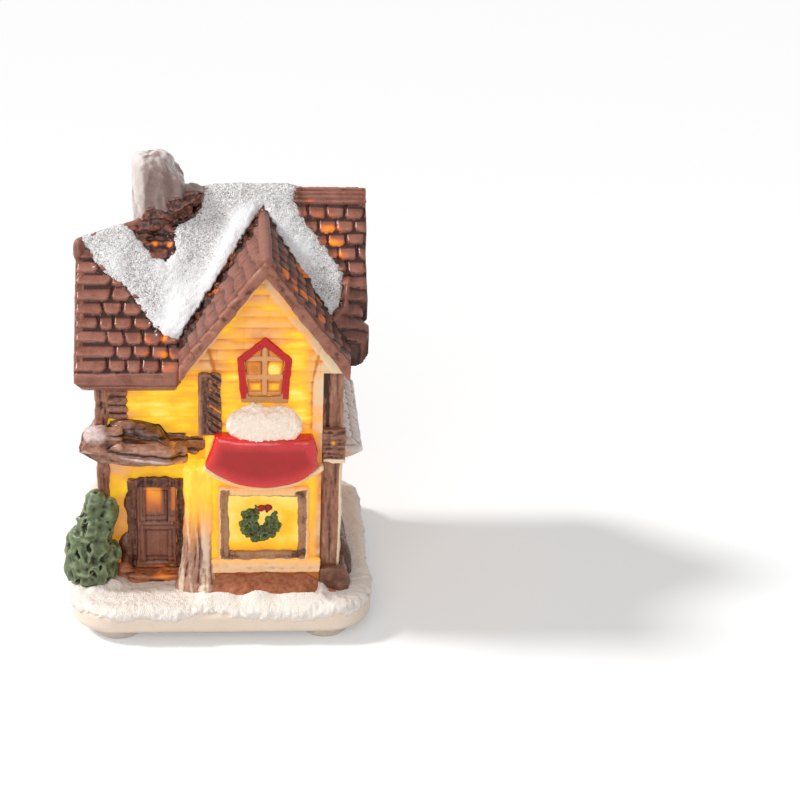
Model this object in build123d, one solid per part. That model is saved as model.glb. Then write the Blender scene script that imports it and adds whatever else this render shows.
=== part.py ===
from build123d import *
import math
import os

# Base and feet
base_height = 5.3
base_corner_radius = 9.5
base_edge_radius = 1.9
foot_diameter = 10.0
foot_height = 2.0
foot_edge = 0.5
foot_inset_x = 9.6
foot_inset_y = 7.0

# House block: yards round it on the base, and its stretch of wall left of the door
house_side_gap = 6.3
house_front_gap = 16.0
house_back_gap = 6.0
wing_wall = 5.1
wall_thickness = 3.0

# Main roof: rise from eave to ridge, overhangs and slab
ridge_rise = 30.0
eave_overhang = 4.0
verge_overhang = 4.6
roof_drop = 3.9
right_eave_setback = 3.2
main_end_share = 0.36
wing_end_share = 0.20
wing_ridge_shares = (0.70, 0.80)

# Front bay and cross gable
bay_width = 23.0
bay_projection = 8.0
bay_wall = 2.5
gable_reach = 4.7
gable_ridge_drop = 3.4
gable_rise = 9.4
gable_eave_step = 5.3
gable_overhang = 3.5
gable_drop = 3.4
rake_depth = 1.2
rake_drop = 3.2

# Shingles
shingle_width = 3.3
shingle_row = 2.87
shingle_gap = 0.35
shingle_lift = 0.7
shingle_corner_share = 0.25

# Ridge cap, verge board and chimney
cap_width = 3.0
cap_height = 0.8
verge_width = 1.9
verge_height = 0.8
chimney_width = 9.2
chimney_depth = 8.0
chimney_height = 7.0
chimney_shoulder = 4.6
chimney_top_share = 0.60
chimney_edge = 1.6

# Roof snow, as shares of the roof's width and of the slope from eave to ridge
snow_thickness = 1.4
snow_shares = (
    (0.027, 0.71), (0.116, 0.755), (0.20, 0.775), (0.223, 0.71), (0.281, 0.62), (0.322, 0.62),
    (0.356, 0.68), (0.345, 0.77), (0.40, 0.86), (0.455, 0.99), (0.60, 0.99), (0.75, 0.99),
    (0.785, 0.83), (0.852, 0.69), (0.912, 0.55), (0.899, 0.33), (0.857, 0.28), (0.352, 0.18),
    (0.297, 0.20), (0.227, 0.33), (0.177, 0.43), (0.087, 0.55), (0.058, 0.63),
)

# Canopies and corner bracket
upper_wall_height = 11.2
canopy_drop = 4.6
canopy_edge = 2.6
canopy_reach_front = 7.0
canopy_reach_side = 4.2
canopy_lap = 0.3
canopy_back_gap = 4.0
side_wall_height = 14.6
side_canopy_drop = 3.7
side_canopy_under = 6.7
side_canopy_reach = 3.9
side_canopy_tip = 1.2
side_canopy_start = 1.0
bracket_width = 4.6
bracket_height = 7.2
bracket_rise = 4.3
bracket_proud = 1.6

# Door
door_width = 11.4
door_height = 19.8
door_bar = 1.7
door_frame_proud = 1.4
door_leaf_proud = 0.7
door_panel = 0.35
knob_diameter = 1.0
step_height = 2.2
step_depth = 5.0

# Posts, planks, sill and footings
trunk_width = 5.4
trunk_depth = 5.6
trunk_top_gap = 0.2
trunk_gap = 0.15
trunk_proud = 1.2
post_width = 4.0
post_gap = 0.3
post_depth = 6.4
post_foot_height = 5.6
post_foot_reach = 2.2
upper_post_width = 3.8
upper_post_proud = 0.9
wing_post_width = 2.3
wing_post_proud = 0.8
plank_width = 3.8
plank_height = 7.0
plank_proud = 0.7
plank_count = 4
sill_height = 3.2
sill_proud = 1.0
strip_height = 4.6
strip_depth = 4.0
footing_height = 4.8
footing_width = 2.3

# Windows and wreath
upper_window_width = 10.8
upper_window_height = 13.8
upper_window_shoulder_share = 0.67
upper_window_foot_share = 0.84
upper_window_bar = 1.5
upper_window_proud = 0.9
lower_window_side = 2.8
lower_window_height = 15.8
lower_window_base = 8.1
lower_window_bar = 1.4
lower_window_proud = 0.8
pane_proud = 0.3
muntin_width = 0.9
muntin_proud = 0.35
wreath_diameter = 8.2
wreath_ring = 2.3
wreath_rise_share = 0.52
bow_diameter = 2.2

# Sign, its ledge and its snow
sign_reach = 0.2
sign_height = 10.6
sign_gap = 1.3
sign_proud = 3.2
sign_edge = 1.2
sign_top_share = 0.81
sign_side_share = 0.41
ledge_drop = 1.0
ledge_proud = 1.9
ledge_height = 5.4
pillow_inset = 4.4
pillow_height = 6.6
pillow_proud = 3.6
pillow_dip = 1.2
pillow_edge = 1.5
pillow_gap = 1.3

# Base snow and shrub
ground_snow = 1.3
ground_inset = 2.3
shrub_radius = 5.2
shrub_height = 21.6
shrub_inset_x = 4.2
shrub_inset_y = 12.0
shrub_lobe_radius = 2.3
shrub_profile_shares = (
    (0.62, 0.0), (0.86, 0.09), (1.0, 0.24), (0.90, 0.38), (0.97, 0.48),
    (0.72, 0.62), (0.78, 0.70), (0.50, 0.82), (0.56, 0.89), (0.30, 0.98), (0.0, 1.0),
)

# Light unit in the underside
unit_wall = 2.2
unit_room = 1.0
unit_height = 7.4
unit_fit = 0.3
flange_reach = 2.5
flange_height = 1.2
cell_diameter = 20.0
cell_height = 3.2
cell_fit = 0.3
cell_offset_x = -2.0
cover_wall = 0.9
cover_height = 1.3
cover_fit = 0.08
cover_gap = 0.12
coin_slot_length = 12.0
coin_slot_width = 1.6
coin_slot_depth = 0.5
lug_length = 3.4
lug_reach = 0.8
lug_height = 0.6
lug_fit = 0.15
lug_turn = 45.0
lug_angle = 90.0
contact_thickness = 0.25
contact_width = 3.0
contact_length = 9.0
board_inset = 2.0
board_height = 1.0
led_diameter = 5.0
led_flange_diameter = 5.8
led_flange_height = 1.0
led_height = 8.6
switch_length = 8.6
switch_width = 3.6
switch_height = 3.4
switch_wall = 0.9
switch_travel = 2.0
slider_length = 1.9
slider_width = 1.4
slider_fit = 0.25
slider_root = 0.6
overrun = 1.0

# Sizes of the light unit that follow from what it holds
cover_diameter = cell_diameter + 2 * (cell_fit + cover_wall)
switch_offset_x = cell_offset_x + cell_diameter / 2 + cell_fit + switch_wall + switch_width / 2
unit_diameter = 2 * (switch_offset_x + switch_width / 2 + unit_wall)
flange_diameter = unit_diameter + 2 * flange_reach
board_diameter = unit_diameter - 2 * board_inset

# Widths along the front add up to the house, and the house with its yards to the base
door_gap = trunk_width * 3 / 4 + trunk_gap
house_width = wing_wall + door_width + door_gap + bay_width + post_width + post_gap
house_depth = unit_diameter + 2 * (unit_room + wall_thickness)
base_width = house_width + 2 * house_side_gap
base_depth = house_front_gap + house_depth + house_back_gap
bay_offset = (house_width - bay_width) / 2 - post_width - post_gap
door_offset = (house_width - door_width) / 2 - wing_wall
gable_half_width = bay_width / 2 + gable_reach
lower_window_width = bay_width - 2 * lower_window_side
sign_width = bay_width + 2 * sign_reach
pillow_width = sign_width - 2 * pillow_inset
canopy_length = canopy_reach_side + wing_wall + door_width + canopy_lap

# Heights above the base stack up over the shop window
sign_base = lower_window_base + lower_window_height + sign_gap
upper_window_base = sign_base + sign_height - pillow_dip + pillow_height + pillow_gap
gable_base_height = upper_window_base + gable_rise
gable_height = ridge_rise - gable_ridge_drop - gable_eave_step
eave_height = gable_base_height - gable_eave_step
canopy_top = eave_height - upper_wall_height
side_canopy_top = eave_height - side_wall_height
trunk_height = canopy_top - canopy_drop - canopy_edge - trunk_top_gap
upper_post_height = gable_base_height - gable_drop - sign_base - sign_height

# Levels and planes that several pieces share
base_bottom = foot_height
base_top = foot_height + base_height
house_back = base_depth / 2 - house_back_gap
house_front = house_back - house_depth
house_half = house_width / 2
bay_front = house_front - bay_projection
bay_left = bay_offset - bay_width / 2
bay_right = bay_offset + bay_width / 2
ridge_y = (house_front + house_back) / 2
unit_offset_y = ridge_y
roof_half = house_depth / 2 + eave_overhang
eave_front = ridge_y - roof_half
eave_back = ridge_y + roof_half
eave_z = base_top + eave_height
ridge_z = eave_z + ridge_rise
roof_x = house_half + verge_overhang
roof_width = 2 * roof_x
main_end = -roof_x + main_end_share * roof_width
wing_end = -roof_x + wing_end_share * roof_width
front_slope = ridge_rise / roof_half
slope_length = math.hypot(ridge_rise, roof_half)
slope_angle = math.degrees(math.atan(front_slope))
gable_slope = gable_height / gable_half_width
gable_base = base_top + gable_base_height
gable_apex = gable_base + gable_height
gable_front = bay_front - gable_overhang


def along_x(points, start, end):
    """Prism with an outline in Y and Z between two places on X."""
    return extrude(Plane.YZ.offset(start) * make_face(Polyline(*points, close=True)), amount=end - start)


def along_y(points, start, end):
    """Prism with an outline in X and Z between two places on Y."""
    plane = Plane(origin=(0, end, 0), x_dir=(1, 0, 0), z_dir=(0, -1, 0))
    return extrude(plane * make_face(Polyline(*points, close=True)), amount=end - start)


def block(x, y, z):
    """Box between two places on each axis."""
    size = Box(x[1] - x[0], y[1] - y[0], z[1] - z[0], align=(Align.MIN, Align.MIN, Align.MIN))
    return Pos(x[0], y[0], z[0]) * size


def disc(diameter, bottom, top):
    """Round plate on the Z axis."""
    return Pos(0, 0, bottom) * Cylinder(
        diameter / 2, top - bottom, align=(Align.CENTER, Align.CENTER, Align.MIN)
    )


def biggest(shape):
    """Largest solid of a cut piece, without loose chips."""
    return max(shape.solids(), key=lambda solid: solid.volume)


def ridge_at(rise_share):
    """Place of the ridge on the front slope's plane for a share of the full rise."""
    return eave_front + rise_share * roof_half, eave_z + rise_share * ridge_rise


# Stations of the two-level roof from right to left: place on X and share of the rise
stations = (
    (roof_x, 1.0),
    (main_end, 1.0),
    (wing_end, wing_ridge_shares[1]),
    (-roof_x, wing_ridge_shares[0]),
)


def roof_section(rise_share):
    """Open roof slab in Y and Z: up the front slope, down the back, and home on the underside."""
    y, z = ridge_at(rise_share)
    top = [(eave_front, eave_z), (y, z), (eave_back, eave_z)]
    return top + [(a, b - roof_drop) for a, b in reversed(top)]


def envelope_section(rise_share, drop):
    """Everything under the roof slab's top face, or under its underside."""
    y, z = ridge_at(rise_share)
    low = base_top
    return [
        (eave_front, low),
        (eave_front, eave_z - drop),
        (y, z - drop),
        (eave_back, eave_z - drop),
        (eave_back, low),
    ]


def roof_loft(section):
    """Loft of a section over the roof's stations."""
    faces = [Plane.YZ.offset(x) * make_face(Polyline(*section(share), close=True)) for x, share in stations]
    return loft(faces, ruled=True)


roof_envelope = roof_loft(lambda share: envelope_section(share, 0))
attic_envelope = roof_loft(lambda share: envelope_section(share, roof_drop))


def gable_outline(drop):
    """Gable roof's top line lowered by a drop, as left foot, apex and right foot."""
    return [
        (bay_offset - gable_half_width, gable_base - drop),
        (bay_offset, gable_apex - drop),
        (bay_offset + gable_half_width, gable_base - drop),
    ]


def bay_outline(inset):
    """Bay and gable wall from the front, inset by a wall's thickness."""
    low = gable_base - gable_drop
    reach = gable_half_width - inset * math.hypot(1, gable_slope) / gable_slope
    apex = low + gable_slope * reach
    floor = low + inset
    half = bay_width / 2 - inset
    jetty = reach - inset / gable_slope
    return [
        (bay_offset - half, base_top),
        (bay_offset + half, base_top),
        (bay_offset + half, floor),
        (bay_offset + jetty, floor),
        (bay_offset, apex),
        (bay_offset - jetty, floor),
        (bay_offset - half, floor),
    ]


bay_space = along_y(bay_outline(bay_wall), bay_front + bay_wall, ridge_y)
gable_space = along_y(gable_outline(gable_drop), gable_front - overrun, ridge_y)


def base_plinth():
    """Rounded slab with the stepped opening that takes the light unit."""
    slab = extrude(RectangleRounded(base_width, base_depth, base_corner_radius), amount=base_height)
    rims = slab.edges().filter_by_position(Axis.Z, 0, 0) + slab.edges().filter_by_position(
        Axis.Z, base_height, base_height
    )
    slab = Pos(0, 0, base_bottom) * fillet(rims, base_edge_radius)
    opening = disc(unit_diameter + 2 * unit_fit, base_bottom - overrun, base_top + overrun)
    recess = disc(flange_diameter + 2 * unit_fit, base_bottom - overrun, base_bottom + flange_height)
    return slab - Pos(0, unit_offset_y, 0) * (opening + recess)


def foot():
    """Bumper foot, bevelled at its lower edge."""
    body = disc(foot_diameter, 0, foot_height)
    return chamfer(body.edges().group_by(Axis.Z)[0], foot_edge)


def house_walls():
    """Four walls up to the roof's underside, open behind the bay."""
    walls = block((-house_half, house_half), (house_front, house_back), (base_top, ridge_z)) & attic_envelope
    inner = house_half - wall_thickness
    room = block(
        (-inner, inner),
        (house_front + wall_thickness, house_back - wall_thickness),
        (base_top - overrun, ridge_z + overrun),
    )
    return biggest(walls - room - bay_space)


def bay_walls():
    """Front and sides of the bay with the gable wall over them."""
    return biggest(along_y(bay_outline(0), bay_front, house_front) - bay_space)


def shingle(lift, row):
    """One shingle with cut lower corners, tipped so that only its lower end stands proud."""
    half = (shingle_width - shingle_gap) / 2
    cut = shingle_corner_share * shingle_width
    outline = [
        (-half, row),
        (-half, cut),
        (cut - half, 0),
        (half - cut, 0),
        (half, cut),
        (half, row),
    ]
    tile = extrude(make_face(Polyline(*outline, close=True)), amount=lift)
    tip = math.degrees(math.atan(lift / row))
    return Rot(tip, 0, 0) * Pos(0, 0, -lift / 2) * tile


def inside(point, outline):
    """Whether a point of the slope lies within an outline."""
    x, y = point
    hit = False
    for (ax, ay), (bx, by) in zip(outline, outline[1:] + outline[:1]):
        if (ay > y) != (by > y) and x < ax + (bx - ax) * (y - ay) / (by - ay):
            hit = not hit
    return hit


def snow_outline():
    """Snow sheet's outline on the front slope: place on X and way up the slope."""
    return [(-roof_x + a * roof_width, b * slope_length) for a, b in snow_shares]


def main_shingles():
    """Shingles of the front and back slopes where no snow, gable, chimney or cap covers them."""
    tile = shingle(shingle_lift, shingle_row)
    front = Plane(
        origin=(0, eave_front, eave_z),
        x_dir=(1, 0, 0),
        z_dir=(0, -math.sin(math.radians(slope_angle)), math.cos(math.radians(slope_angle))),
    )
    back = Plane(
        origin=(0, eave_back, eave_z),
        x_dir=(-1, 0, 0),
        z_dir=(0, math.sin(math.radians(slope_angle)), math.cos(math.radians(slope_angle))),
    )
    sheet = snow_outline()
    rows = int((slope_length - cap_width) / shingle_row)
    tiles = []
    for row in range(rows):
        way = row * shingle_row
        level = (way + shingle_row) / slope_length
        shift = (row % 2) * shingle_width / 2
        count = int((roof_width - verge_width - shingle_width / 2) / shingle_width)
        for place in range(count):
            x = -roof_x + verge_width + shingle_width / 2 + shift + place * shingle_width
            edges = (x - shingle_width / 2, x + shingle_width / 2)
            middle = way + shingle_row / 2
            in_snow = any(inside((a, b), sheet) for a in edges for b in (way, middle, way + shingle_row))
            above = max(0, eave_z + way * ridge_rise / slope_length - gable_base)
            reach = gable_half_width * (1 - above / gable_height)
            near_gable = abs(x - bay_offset) < reach + shingle_width / 2
            if edges[0] < wing_end + shingle_width:
                ridge_level = wing_ridge_shares[0]
            else:
                ridge_level = 1.0
            cut_eave = x > bay_right and way * roof_half / slope_length < right_eave_setback
            near_chimney = edges[0] < main_end + shingle_width and edges[1] > wing_end - shingle_width
            high = level > wing_ridge_shares[0] - cap_width / slope_length
            covered = in_snow or near_gable or cut_eave or (near_chimney and high)
            if level < ridge_level and not covered:
                tiles.append(front.location * Pos(x, way, 0) * tile)
            if edges[0] > main_end + shingle_width / 2:
                tiles.append(back.location * Pos(-x, way, 0) * tile)
    return tiles


def gable_shingles():
    """Shingles along the front strip of both gable slopes, clear of the snow and the valley."""
    tile = shingle(shingle_lift, shingle_row)
    slope = math.atan(gable_slope)
    length = math.hypot(gable_height, gable_half_width)
    tiles = []
    for side in (-1, 1):
        plane = Plane(
            origin=(bay_offset + side * gable_half_width, gable_front, gable_base),
            x_dir=(0, side, 0),
            z_dir=(side * math.sin(slope), 0, math.cos(slope)),
        )
        for row in range(int((length - cap_width) / shingle_row)):
            way = row * shingle_row
            valley = roof_half * (gable_base + way * math.sin(slope) - eave_z) / ridge_rise
            strip = eave_front + valley - gable_front - shingle_width
            for place in range(int(strip / shingle_width)):
                along = (place + (row % 2 + 1) / 2) * shingle_width
                tiles.append(plane.location * Pos(side * along, way, 0) * tile)
    return tiles


def main_roof():
    """Two-level roof slab with its shingles, cut away inside the gable."""
    slab = roof_loft(roof_section) - gable_space
    opening = block(
        (bay_offset - gable_half_width, bay_right + post_width),
        (eave_front - overrun, house_front),
        (base_top, gable_base),
    )
    opening += block(
        (bay_right, roof_x + overrun),
        (eave_front - overrun, eave_front + right_eave_setback),
        (base_top, ridge_z),
    )
    slab = biggest(slab - opening - along_y(bay_outline(0), bay_front, house_front))
    tiles = main_shingles()
    return biggest(slab.fuse(*[solid for tile in tiles for solid in tile.solids()]))


def gable_roof():
    """Cross gable's slab from the rake back to the valleys, with its shingles."""
    top = gable_outline(0)
    slab = along_y(top + list(reversed(gable_outline(gable_drop))), gable_front, ridge_y)
    slab = biggest(slab - roof_envelope)
    tiles = gable_shingles()
    return biggest(slab.fuse(*[solid for tile in tiles for solid in tile.solids()]) - roof_envelope)


def gable_rakes():
    """Boards on the front edge of the gable roof."""
    points = gable_outline(0) + list(reversed(gable_outline(rake_drop)))
    return along_y(points, gable_front - rake_depth, gable_front)


def ridge_cap():
    """Saddle over the main ridge, right of the chimney."""
    y, z = ridge_at(1.0)
    reach = cap_width * math.cos(math.radians(slope_angle))
    fall = cap_width * math.sin(math.radians(slope_angle))
    points = [(y - reach, z - fall), (y, z), (y + reach, z - fall)]
    raised = [(a, b + cap_height) for a, b in reversed(points)]
    return along_x(points + raised, main_end + cap_width, roof_x)


def verge_board():
    """Smooth board along the left edge of the front slope."""
    y, z = ridge_at(wing_ridge_shares[0])
    points = [(eave_front, eave_z), (y, z), (y, z + verge_height), (eave_front, eave_z + verge_height)]
    board = along_x(points, -roof_x, -roof_x + verge_width)
    return board - roof_envelope


def chimney():
    """Stack with a sloping right shoulder and soft edges, seated over the ridge."""
    centre = (wing_end + main_end) / 2
    left, right = centre - chimney_width / 2, centre + chimney_width / 2
    front = ridge_at(wing_ridge_shares[1])[0]
    top = ridge_z + chimney_height
    outline = [
        (left, eave_z),
        (right, eave_z),
        (right, top - chimney_shoulder),
        (left + chimney_top_share * chimney_width, top),
        (left, top),
    ]
    stack = along_y(outline, front, front + chimney_depth)
    stack = fillet(stack.edges().filter_by(Axis.Z), chimney_edge)
    stack = fillet(stack.edges().group_by(Axis.Z)[-1], chimney_edge)
    return biggest(stack - roof_envelope)


def roof_snow():
    """Sheet of snow on the front slope, split by the gable."""
    normal = (0, -math.sin(math.radians(slope_angle)), math.cos(math.radians(slope_angle)))
    front = Plane(origin=(0, eave_front, eave_z), x_dir=(1, 0, 0), z_dir=normal)
    sheet = front * extrude(make_face(Polyline(*snow_outline(), close=True)), amount=snow_thickness)
    gable = along_y(
        [(a, b + shingle_lift) for a, b in gable_outline(0)]
        + [(bay_offset + gable_half_width, base_top), (bay_offset - gable_half_width, base_top)],
        gable_front - overrun,
        house_back,
    )
    return biggest(sheet - gable - verge_board() - ridge_cap())


def door_canopy():
    """Plank canopy over the door, hipped round the left corner."""
    top = base_top + canopy_top
    low = top - canopy_drop
    left, front = -house_half, house_front
    right = left - canopy_reach_side + canopy_length
    back = house_back - canopy_back_gap

    def slab(reach_x, reach_y, z):
        outline = [
            (left - reach_x, front - reach_y),
            (right, front - reach_y),
            (right, back),
            (left - reach_x, back),
        ]
        return Plane.XY.offset(z) * make_face(Polyline(*outline, close=True))

    eave = slab(canopy_reach_side, canopy_reach_front, low)
    hip = loft([eave, slab(0, 0, top)], ruled=True)
    rim = extrude(eave, amount=-canopy_edge)
    house = block((left, right + overrun), (front, back + overrun), (base_top, ridge_z))
    return biggest(hip + rim - house - wing_corner_post())


def side_canopy():
    """Pent roof along the right wall."""
    top = base_top + side_canopy_top
    points = [
        (house_half, top),
        (house_half + side_canopy_reach, top - side_canopy_drop),
        (house_half + side_canopy_reach, top - side_canopy_drop - side_canopy_tip),
        (house_half, top - side_canopy_under),
    ]
    return along_y(points, house_front + side_canopy_start, house_back - canopy_back_gap)


def corner_bracket():
    """Beam end in front of the right post, over the side canopy's level."""
    top = base_top + side_canopy_top + bracket_rise
    front = house_front - post_depth
    return block(
        (bay_right, bay_right + bracket_width),
        (front - bracket_proud, front),
        (top - bracket_height, top),
    )


door_left = -door_offset - door_width / 2
door_base = base_top + step_height
door_top = door_base + door_height


def door_frame():
    """Posts and head round the door."""
    proud = (house_front - door_frame_proud, house_front)
    outer = block((door_left, door_left + door_width), proud, (door_base, door_top))
    inner = block(
        (door_left + door_bar, door_left + door_width - door_bar),
        (house_front - door_frame_proud - overrun, house_front + overrun),
        (door_base - overrun, door_top - door_bar),
    )
    return outer - inner


def door_leaf():
    """Leaf with two sunk panels."""
    left = door_left + door_bar
    right = door_left + door_width - door_bar
    face = house_front - door_leaf_proud
    leaf = block((left, right), (face, house_front), (door_base, door_top - door_bar))
    middle = (door_base + door_top - door_bar) / 2
    for low, high in ((door_base, middle), (middle, door_top - door_bar)):
        leaf -= block(
            (left + door_bar, right - door_bar),
            (face - overrun, face + door_panel),
            (low + door_bar / 2, high - door_bar / 2),
        )
    return leaf


def door_knob():
    """Small knob on the right stile."""
    x = door_left + door_width - door_bar * 3 / 2
    z = (door_base + door_top) / 2
    ball = Pos(x, house_front - door_leaf_proud, z) * Sphere(knob_diameter / 2)
    return ball - block(
        (x - knob_diameter, x + knob_diameter),
        (house_front - door_leaf_proud, house_front + overrun),
        (z - knob_diameter, z + knob_diameter),
    )


def door_step():
    """Step in front of the door."""
    return block(
        (door_left, door_left + door_width),
        (house_front - step_depth, house_front),
        (base_top, door_base),
    )


def bay_post_left():
    """Trunk-shaped post on the bay's left front corner."""
    right = bay_left + trunk_width / 4
    left = right - trunk_width
    front = bay_front - trunk_proud
    post = block((left, right), (front, front + trunk_depth), (base_top, base_top + trunk_height))
    post = fillet(post.edges().filter_by(Axis.Z), trunk_proud / 2)
    bay = block((bay_left, bay_right), (bay_front, house_front), (base_top, ridge_z))
    return biggest(post - bay)


def bay_post_right():
    """Square post in the corner right of the bay."""
    return block(
        (bay_right, bay_right + post_width),
        (house_front - post_depth, house_front),
        (base_top, gable_base - gable_drop),
    )


def post_foot():
    """Flared foot round the right post."""
    left, right = bay_right, bay_right + post_width
    front = house_front - post_depth
    points = [
        (left, base_top),
        (right + post_foot_reach, base_top),
        (right + post_foot_reach / 2, base_top + post_foot_height),
        (left, base_top + post_foot_height),
    ]
    lump = along_y(points, front - post_foot_reach, house_front - footing_width)
    return biggest(lump - bay_post_right())


def upper_post_left():
    """Post on the gable wall's left, over the sign."""
    top = gable_base - gable_drop
    front = bay_front - upper_post_proud
    post = block(
        (bay_left - upper_post_proud, bay_left - upper_post_proud + upper_post_width),
        (front, front + upper_post_width),
        (top - upper_post_height, top),
    )
    return biggest(post - block((bay_left, bay_right), (bay_front, house_front), (base_top, ridge_z)))


def wing_corner_post():
    """Corner post at the house's left front corner."""
    left, front = -house_half - wing_post_proud, house_front - wing_post_proud
    post = block((left, left + wing_post_width), (front, front + wing_post_width), (base_top, ridge_z))
    house = block((-house_half, house_half), (house_front, house_back), (base_top, ridge_z))
    return biggest((post - house) & attic_envelope)


def plank_stack():
    """Stack of plank ends beside the corner post, over the canopy."""
    left = -house_half - wing_post_proud + wing_post_width
    low = base_top + canopy_top
    each = plank_height / plank_count
    stack = []
    for level in range(plank_count):
        proud = plank_proud * (1 if level % 2 else 3 / 4)
        stack.append(
            block(
                (left, left + plank_width),
                (house_front - proud, house_front),
                (low + level * each, low + (level + 1) * each),
            )
        )
    return stack[0].fuse(*stack[1:]).clean()


def window_ring(outline, bar, proud):
    """Flat frame round an outline on the bay's front."""
    face = make_face(Polyline(*outline, close=True))
    ring = face - offset(face, amount=-bar, kind=Kind.INTERSECTION)
    plane = Plane(origin=(0, bay_front, 0), x_dir=(1, 0, 0), z_dir=(0, -1, 0))
    return extrude(plane * ring, amount=proud)


def window_pane(outline, bar, proud):
    """Plate inside a window's frame."""
    face = offset(make_face(Polyline(*outline, close=True)), amount=-bar, kind=Kind.INTERSECTION)
    plane = Plane(origin=(0, bay_front, 0), x_dir=(1, 0, 0), z_dir=(0, -1, 0))
    return extrude(plane * face, amount=proud)


def upper_window_outline():
    """Pointed window outline in X and Z."""
    low = base_top + upper_window_base
    half = upper_window_width / 2
    shoulder = low + upper_window_shoulder_share * upper_window_height
    foot_half = upper_window_foot_share * half
    return [
        (bay_offset - foot_half, low),
        (bay_offset + foot_half, low),
        (bay_offset + half, shoulder),
        (bay_offset, low + upper_window_height),
        (bay_offset - half, shoulder),
    ]


def upper_window_pane():
    """Pane with its upright and two cross bars."""
    outline = upper_window_outline()
    pane = window_pane(outline, upper_window_bar, pane_proud)
    low = base_top + upper_window_base
    proud = (bay_front - pane_proud - muntin_proud, bay_front - pane_proud)
    half = muntin_width / 2
    shoulder = low + upper_window_shoulder_share * upper_window_height
    middle = (low + upper_window_bar + shoulder) / 2
    bars = block((bay_offset - half, bay_offset + half), proud, (low, low + upper_window_height))
    for level in (middle, shoulder):
        bars += block(
            (bay_offset - upper_window_width / 2, bay_offset + upper_window_width / 2),
            proud,
            (level - half, level + half),
        )
    within = window_pane(outline, upper_window_bar, pane_proud + muntin_proud)
    return biggest(pane + (bars & within))


def lower_window_outline():
    """Shop window outline in X and Z."""
    low = base_top + lower_window_base
    half = lower_window_width / 2
    return [
        (bay_offset - half, low),
        (bay_offset + half, low),
        (bay_offset + half, low + lower_window_height),
        (bay_offset - half, low + lower_window_height),
    ]


wreath_z = base_top + lower_window_base + wreath_rise_share * lower_window_height


def wreath():
    """Ring wreath, half sunk to the pane's face."""
    major = (wreath_diameter - wreath_ring) / 2
    face = bay_front - pane_proud
    ring = Pos(bay_offset, face, wreath_z) * Rot(90, 0, 0) * Torus(major, wreath_ring / 2)
    back = block(
        (bay_offset - wreath_diameter, bay_offset + wreath_diameter),
        (face, house_front),
        (wreath_z - wreath_diameter, wreath_z + wreath_diameter),
    )
    return biggest(ring - back - wreath_bow())


def wreath_bow():
    """Bow at the top of the wreath."""
    face = bay_front - pane_proud
    z = wreath_z + (wreath_diameter - wreath_ring) / 2
    ball = Pos(bay_offset, face, z) * Sphere(bow_diameter / 2)
    return ball - block(
        (bay_offset - bow_diameter, bay_offset + bow_diameter),
        (face, house_front),
        (z - bow_diameter, z + bow_diameter),
    )


def sign_outline():
    """Barrel-shaped outline of the sign in X and Z."""
    low = base_top + sign_base
    top = low + sign_height
    half = sign_width / 2
    narrow = sign_top_share * half
    side = low + sign_side_share * sign_height
    rim = Line((bay_offset - narrow, top), (bay_offset + narrow, top))
    ends = [
        Line((bay_offset + narrow, top), (bay_offset + half, side)),
        Line((bay_offset - half, side), (bay_offset - narrow, top)),
    ]
    belly = ThreePointArc((bay_offset + half, side), (bay_offset, low), (bay_offset - half, side))
    return make_face([rim, ends[0], belly, ends[1]])


def sign_board():
    """Bare bowed board with soft front edges."""
    plane = Plane(origin=(0, bay_front, 0), x_dir=(1, 0, 0), z_dir=(0, -1, 0))
    board = extrude(plane * sign_outline(), amount=sign_proud)
    return fillet(board.faces().sort_by(Axis.Y)[0].edges(), sign_edge)


def sign_ledge():
    """Narrow ledge that the board's lower edge stands over."""
    plane = Plane(origin=(0, bay_front, -ledge_drop), x_dir=(1, 0, 0), z_dir=(0, -1, 0))
    ledge = extrude(plane * sign_outline(), amount=ledge_proud)
    low = base_top + sign_base - ledge_drop
    keep = block(
        (bay_offset - sign_width, bay_offset + sign_width),
        (bay_front - sign_proud, bay_front),
        (low, low + ledge_height),
    )
    return biggest((ledge & keep) - sign_board() - bay_post_left())


def sign_snow():
    """Pillow of snow on the sign's top edge."""
    low = base_top + sign_base + sign_height - pillow_dip
    centre = low + pillow_height / 2
    pillow = extrude(SlotOverall(pillow_width, pillow_height), amount=pillow_proud)
    pillow = fillet(pillow.faces().sort_by(Axis.Z)[-1].edges(), pillow_edge)
    plane = Plane(origin=(bay_offset, bay_front, centre), x_dir=(1, 0, 0), z_dir=(0, -1, 0))
    return biggest(plane * pillow - sign_board())


def bay_sill():
    """Raised band under the shop window."""
    top = base_top + lower_window_base
    band = block(
        (bay_left, bay_right),
        (bay_front - sill_proud, bay_front),
        (top - sill_height, top),
    )
    return biggest(band - bay_post_left())


def bay_strip():
    """Sloped brown strip between the bay and the snow."""
    low = base_top + strip_height
    points = [
        (bay_front, base_top),
        (bay_front, low),
        (bay_front - strip_depth, base_top + strip_height / 4),
        (bay_front - strip_depth, base_top),
    ]
    return biggest(along_x(points, bay_left, bay_right) - bay_post_left() - bay_sill())


def side_footing():
    """Sloped footing along the right wall."""
    points = [
        (house_half, base_top),
        (house_half + footing_width, base_top),
        (house_half, base_top + footing_height),
    ]
    return along_y(points, house_front, house_back - canopy_back_gap) - post_foot()


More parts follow.
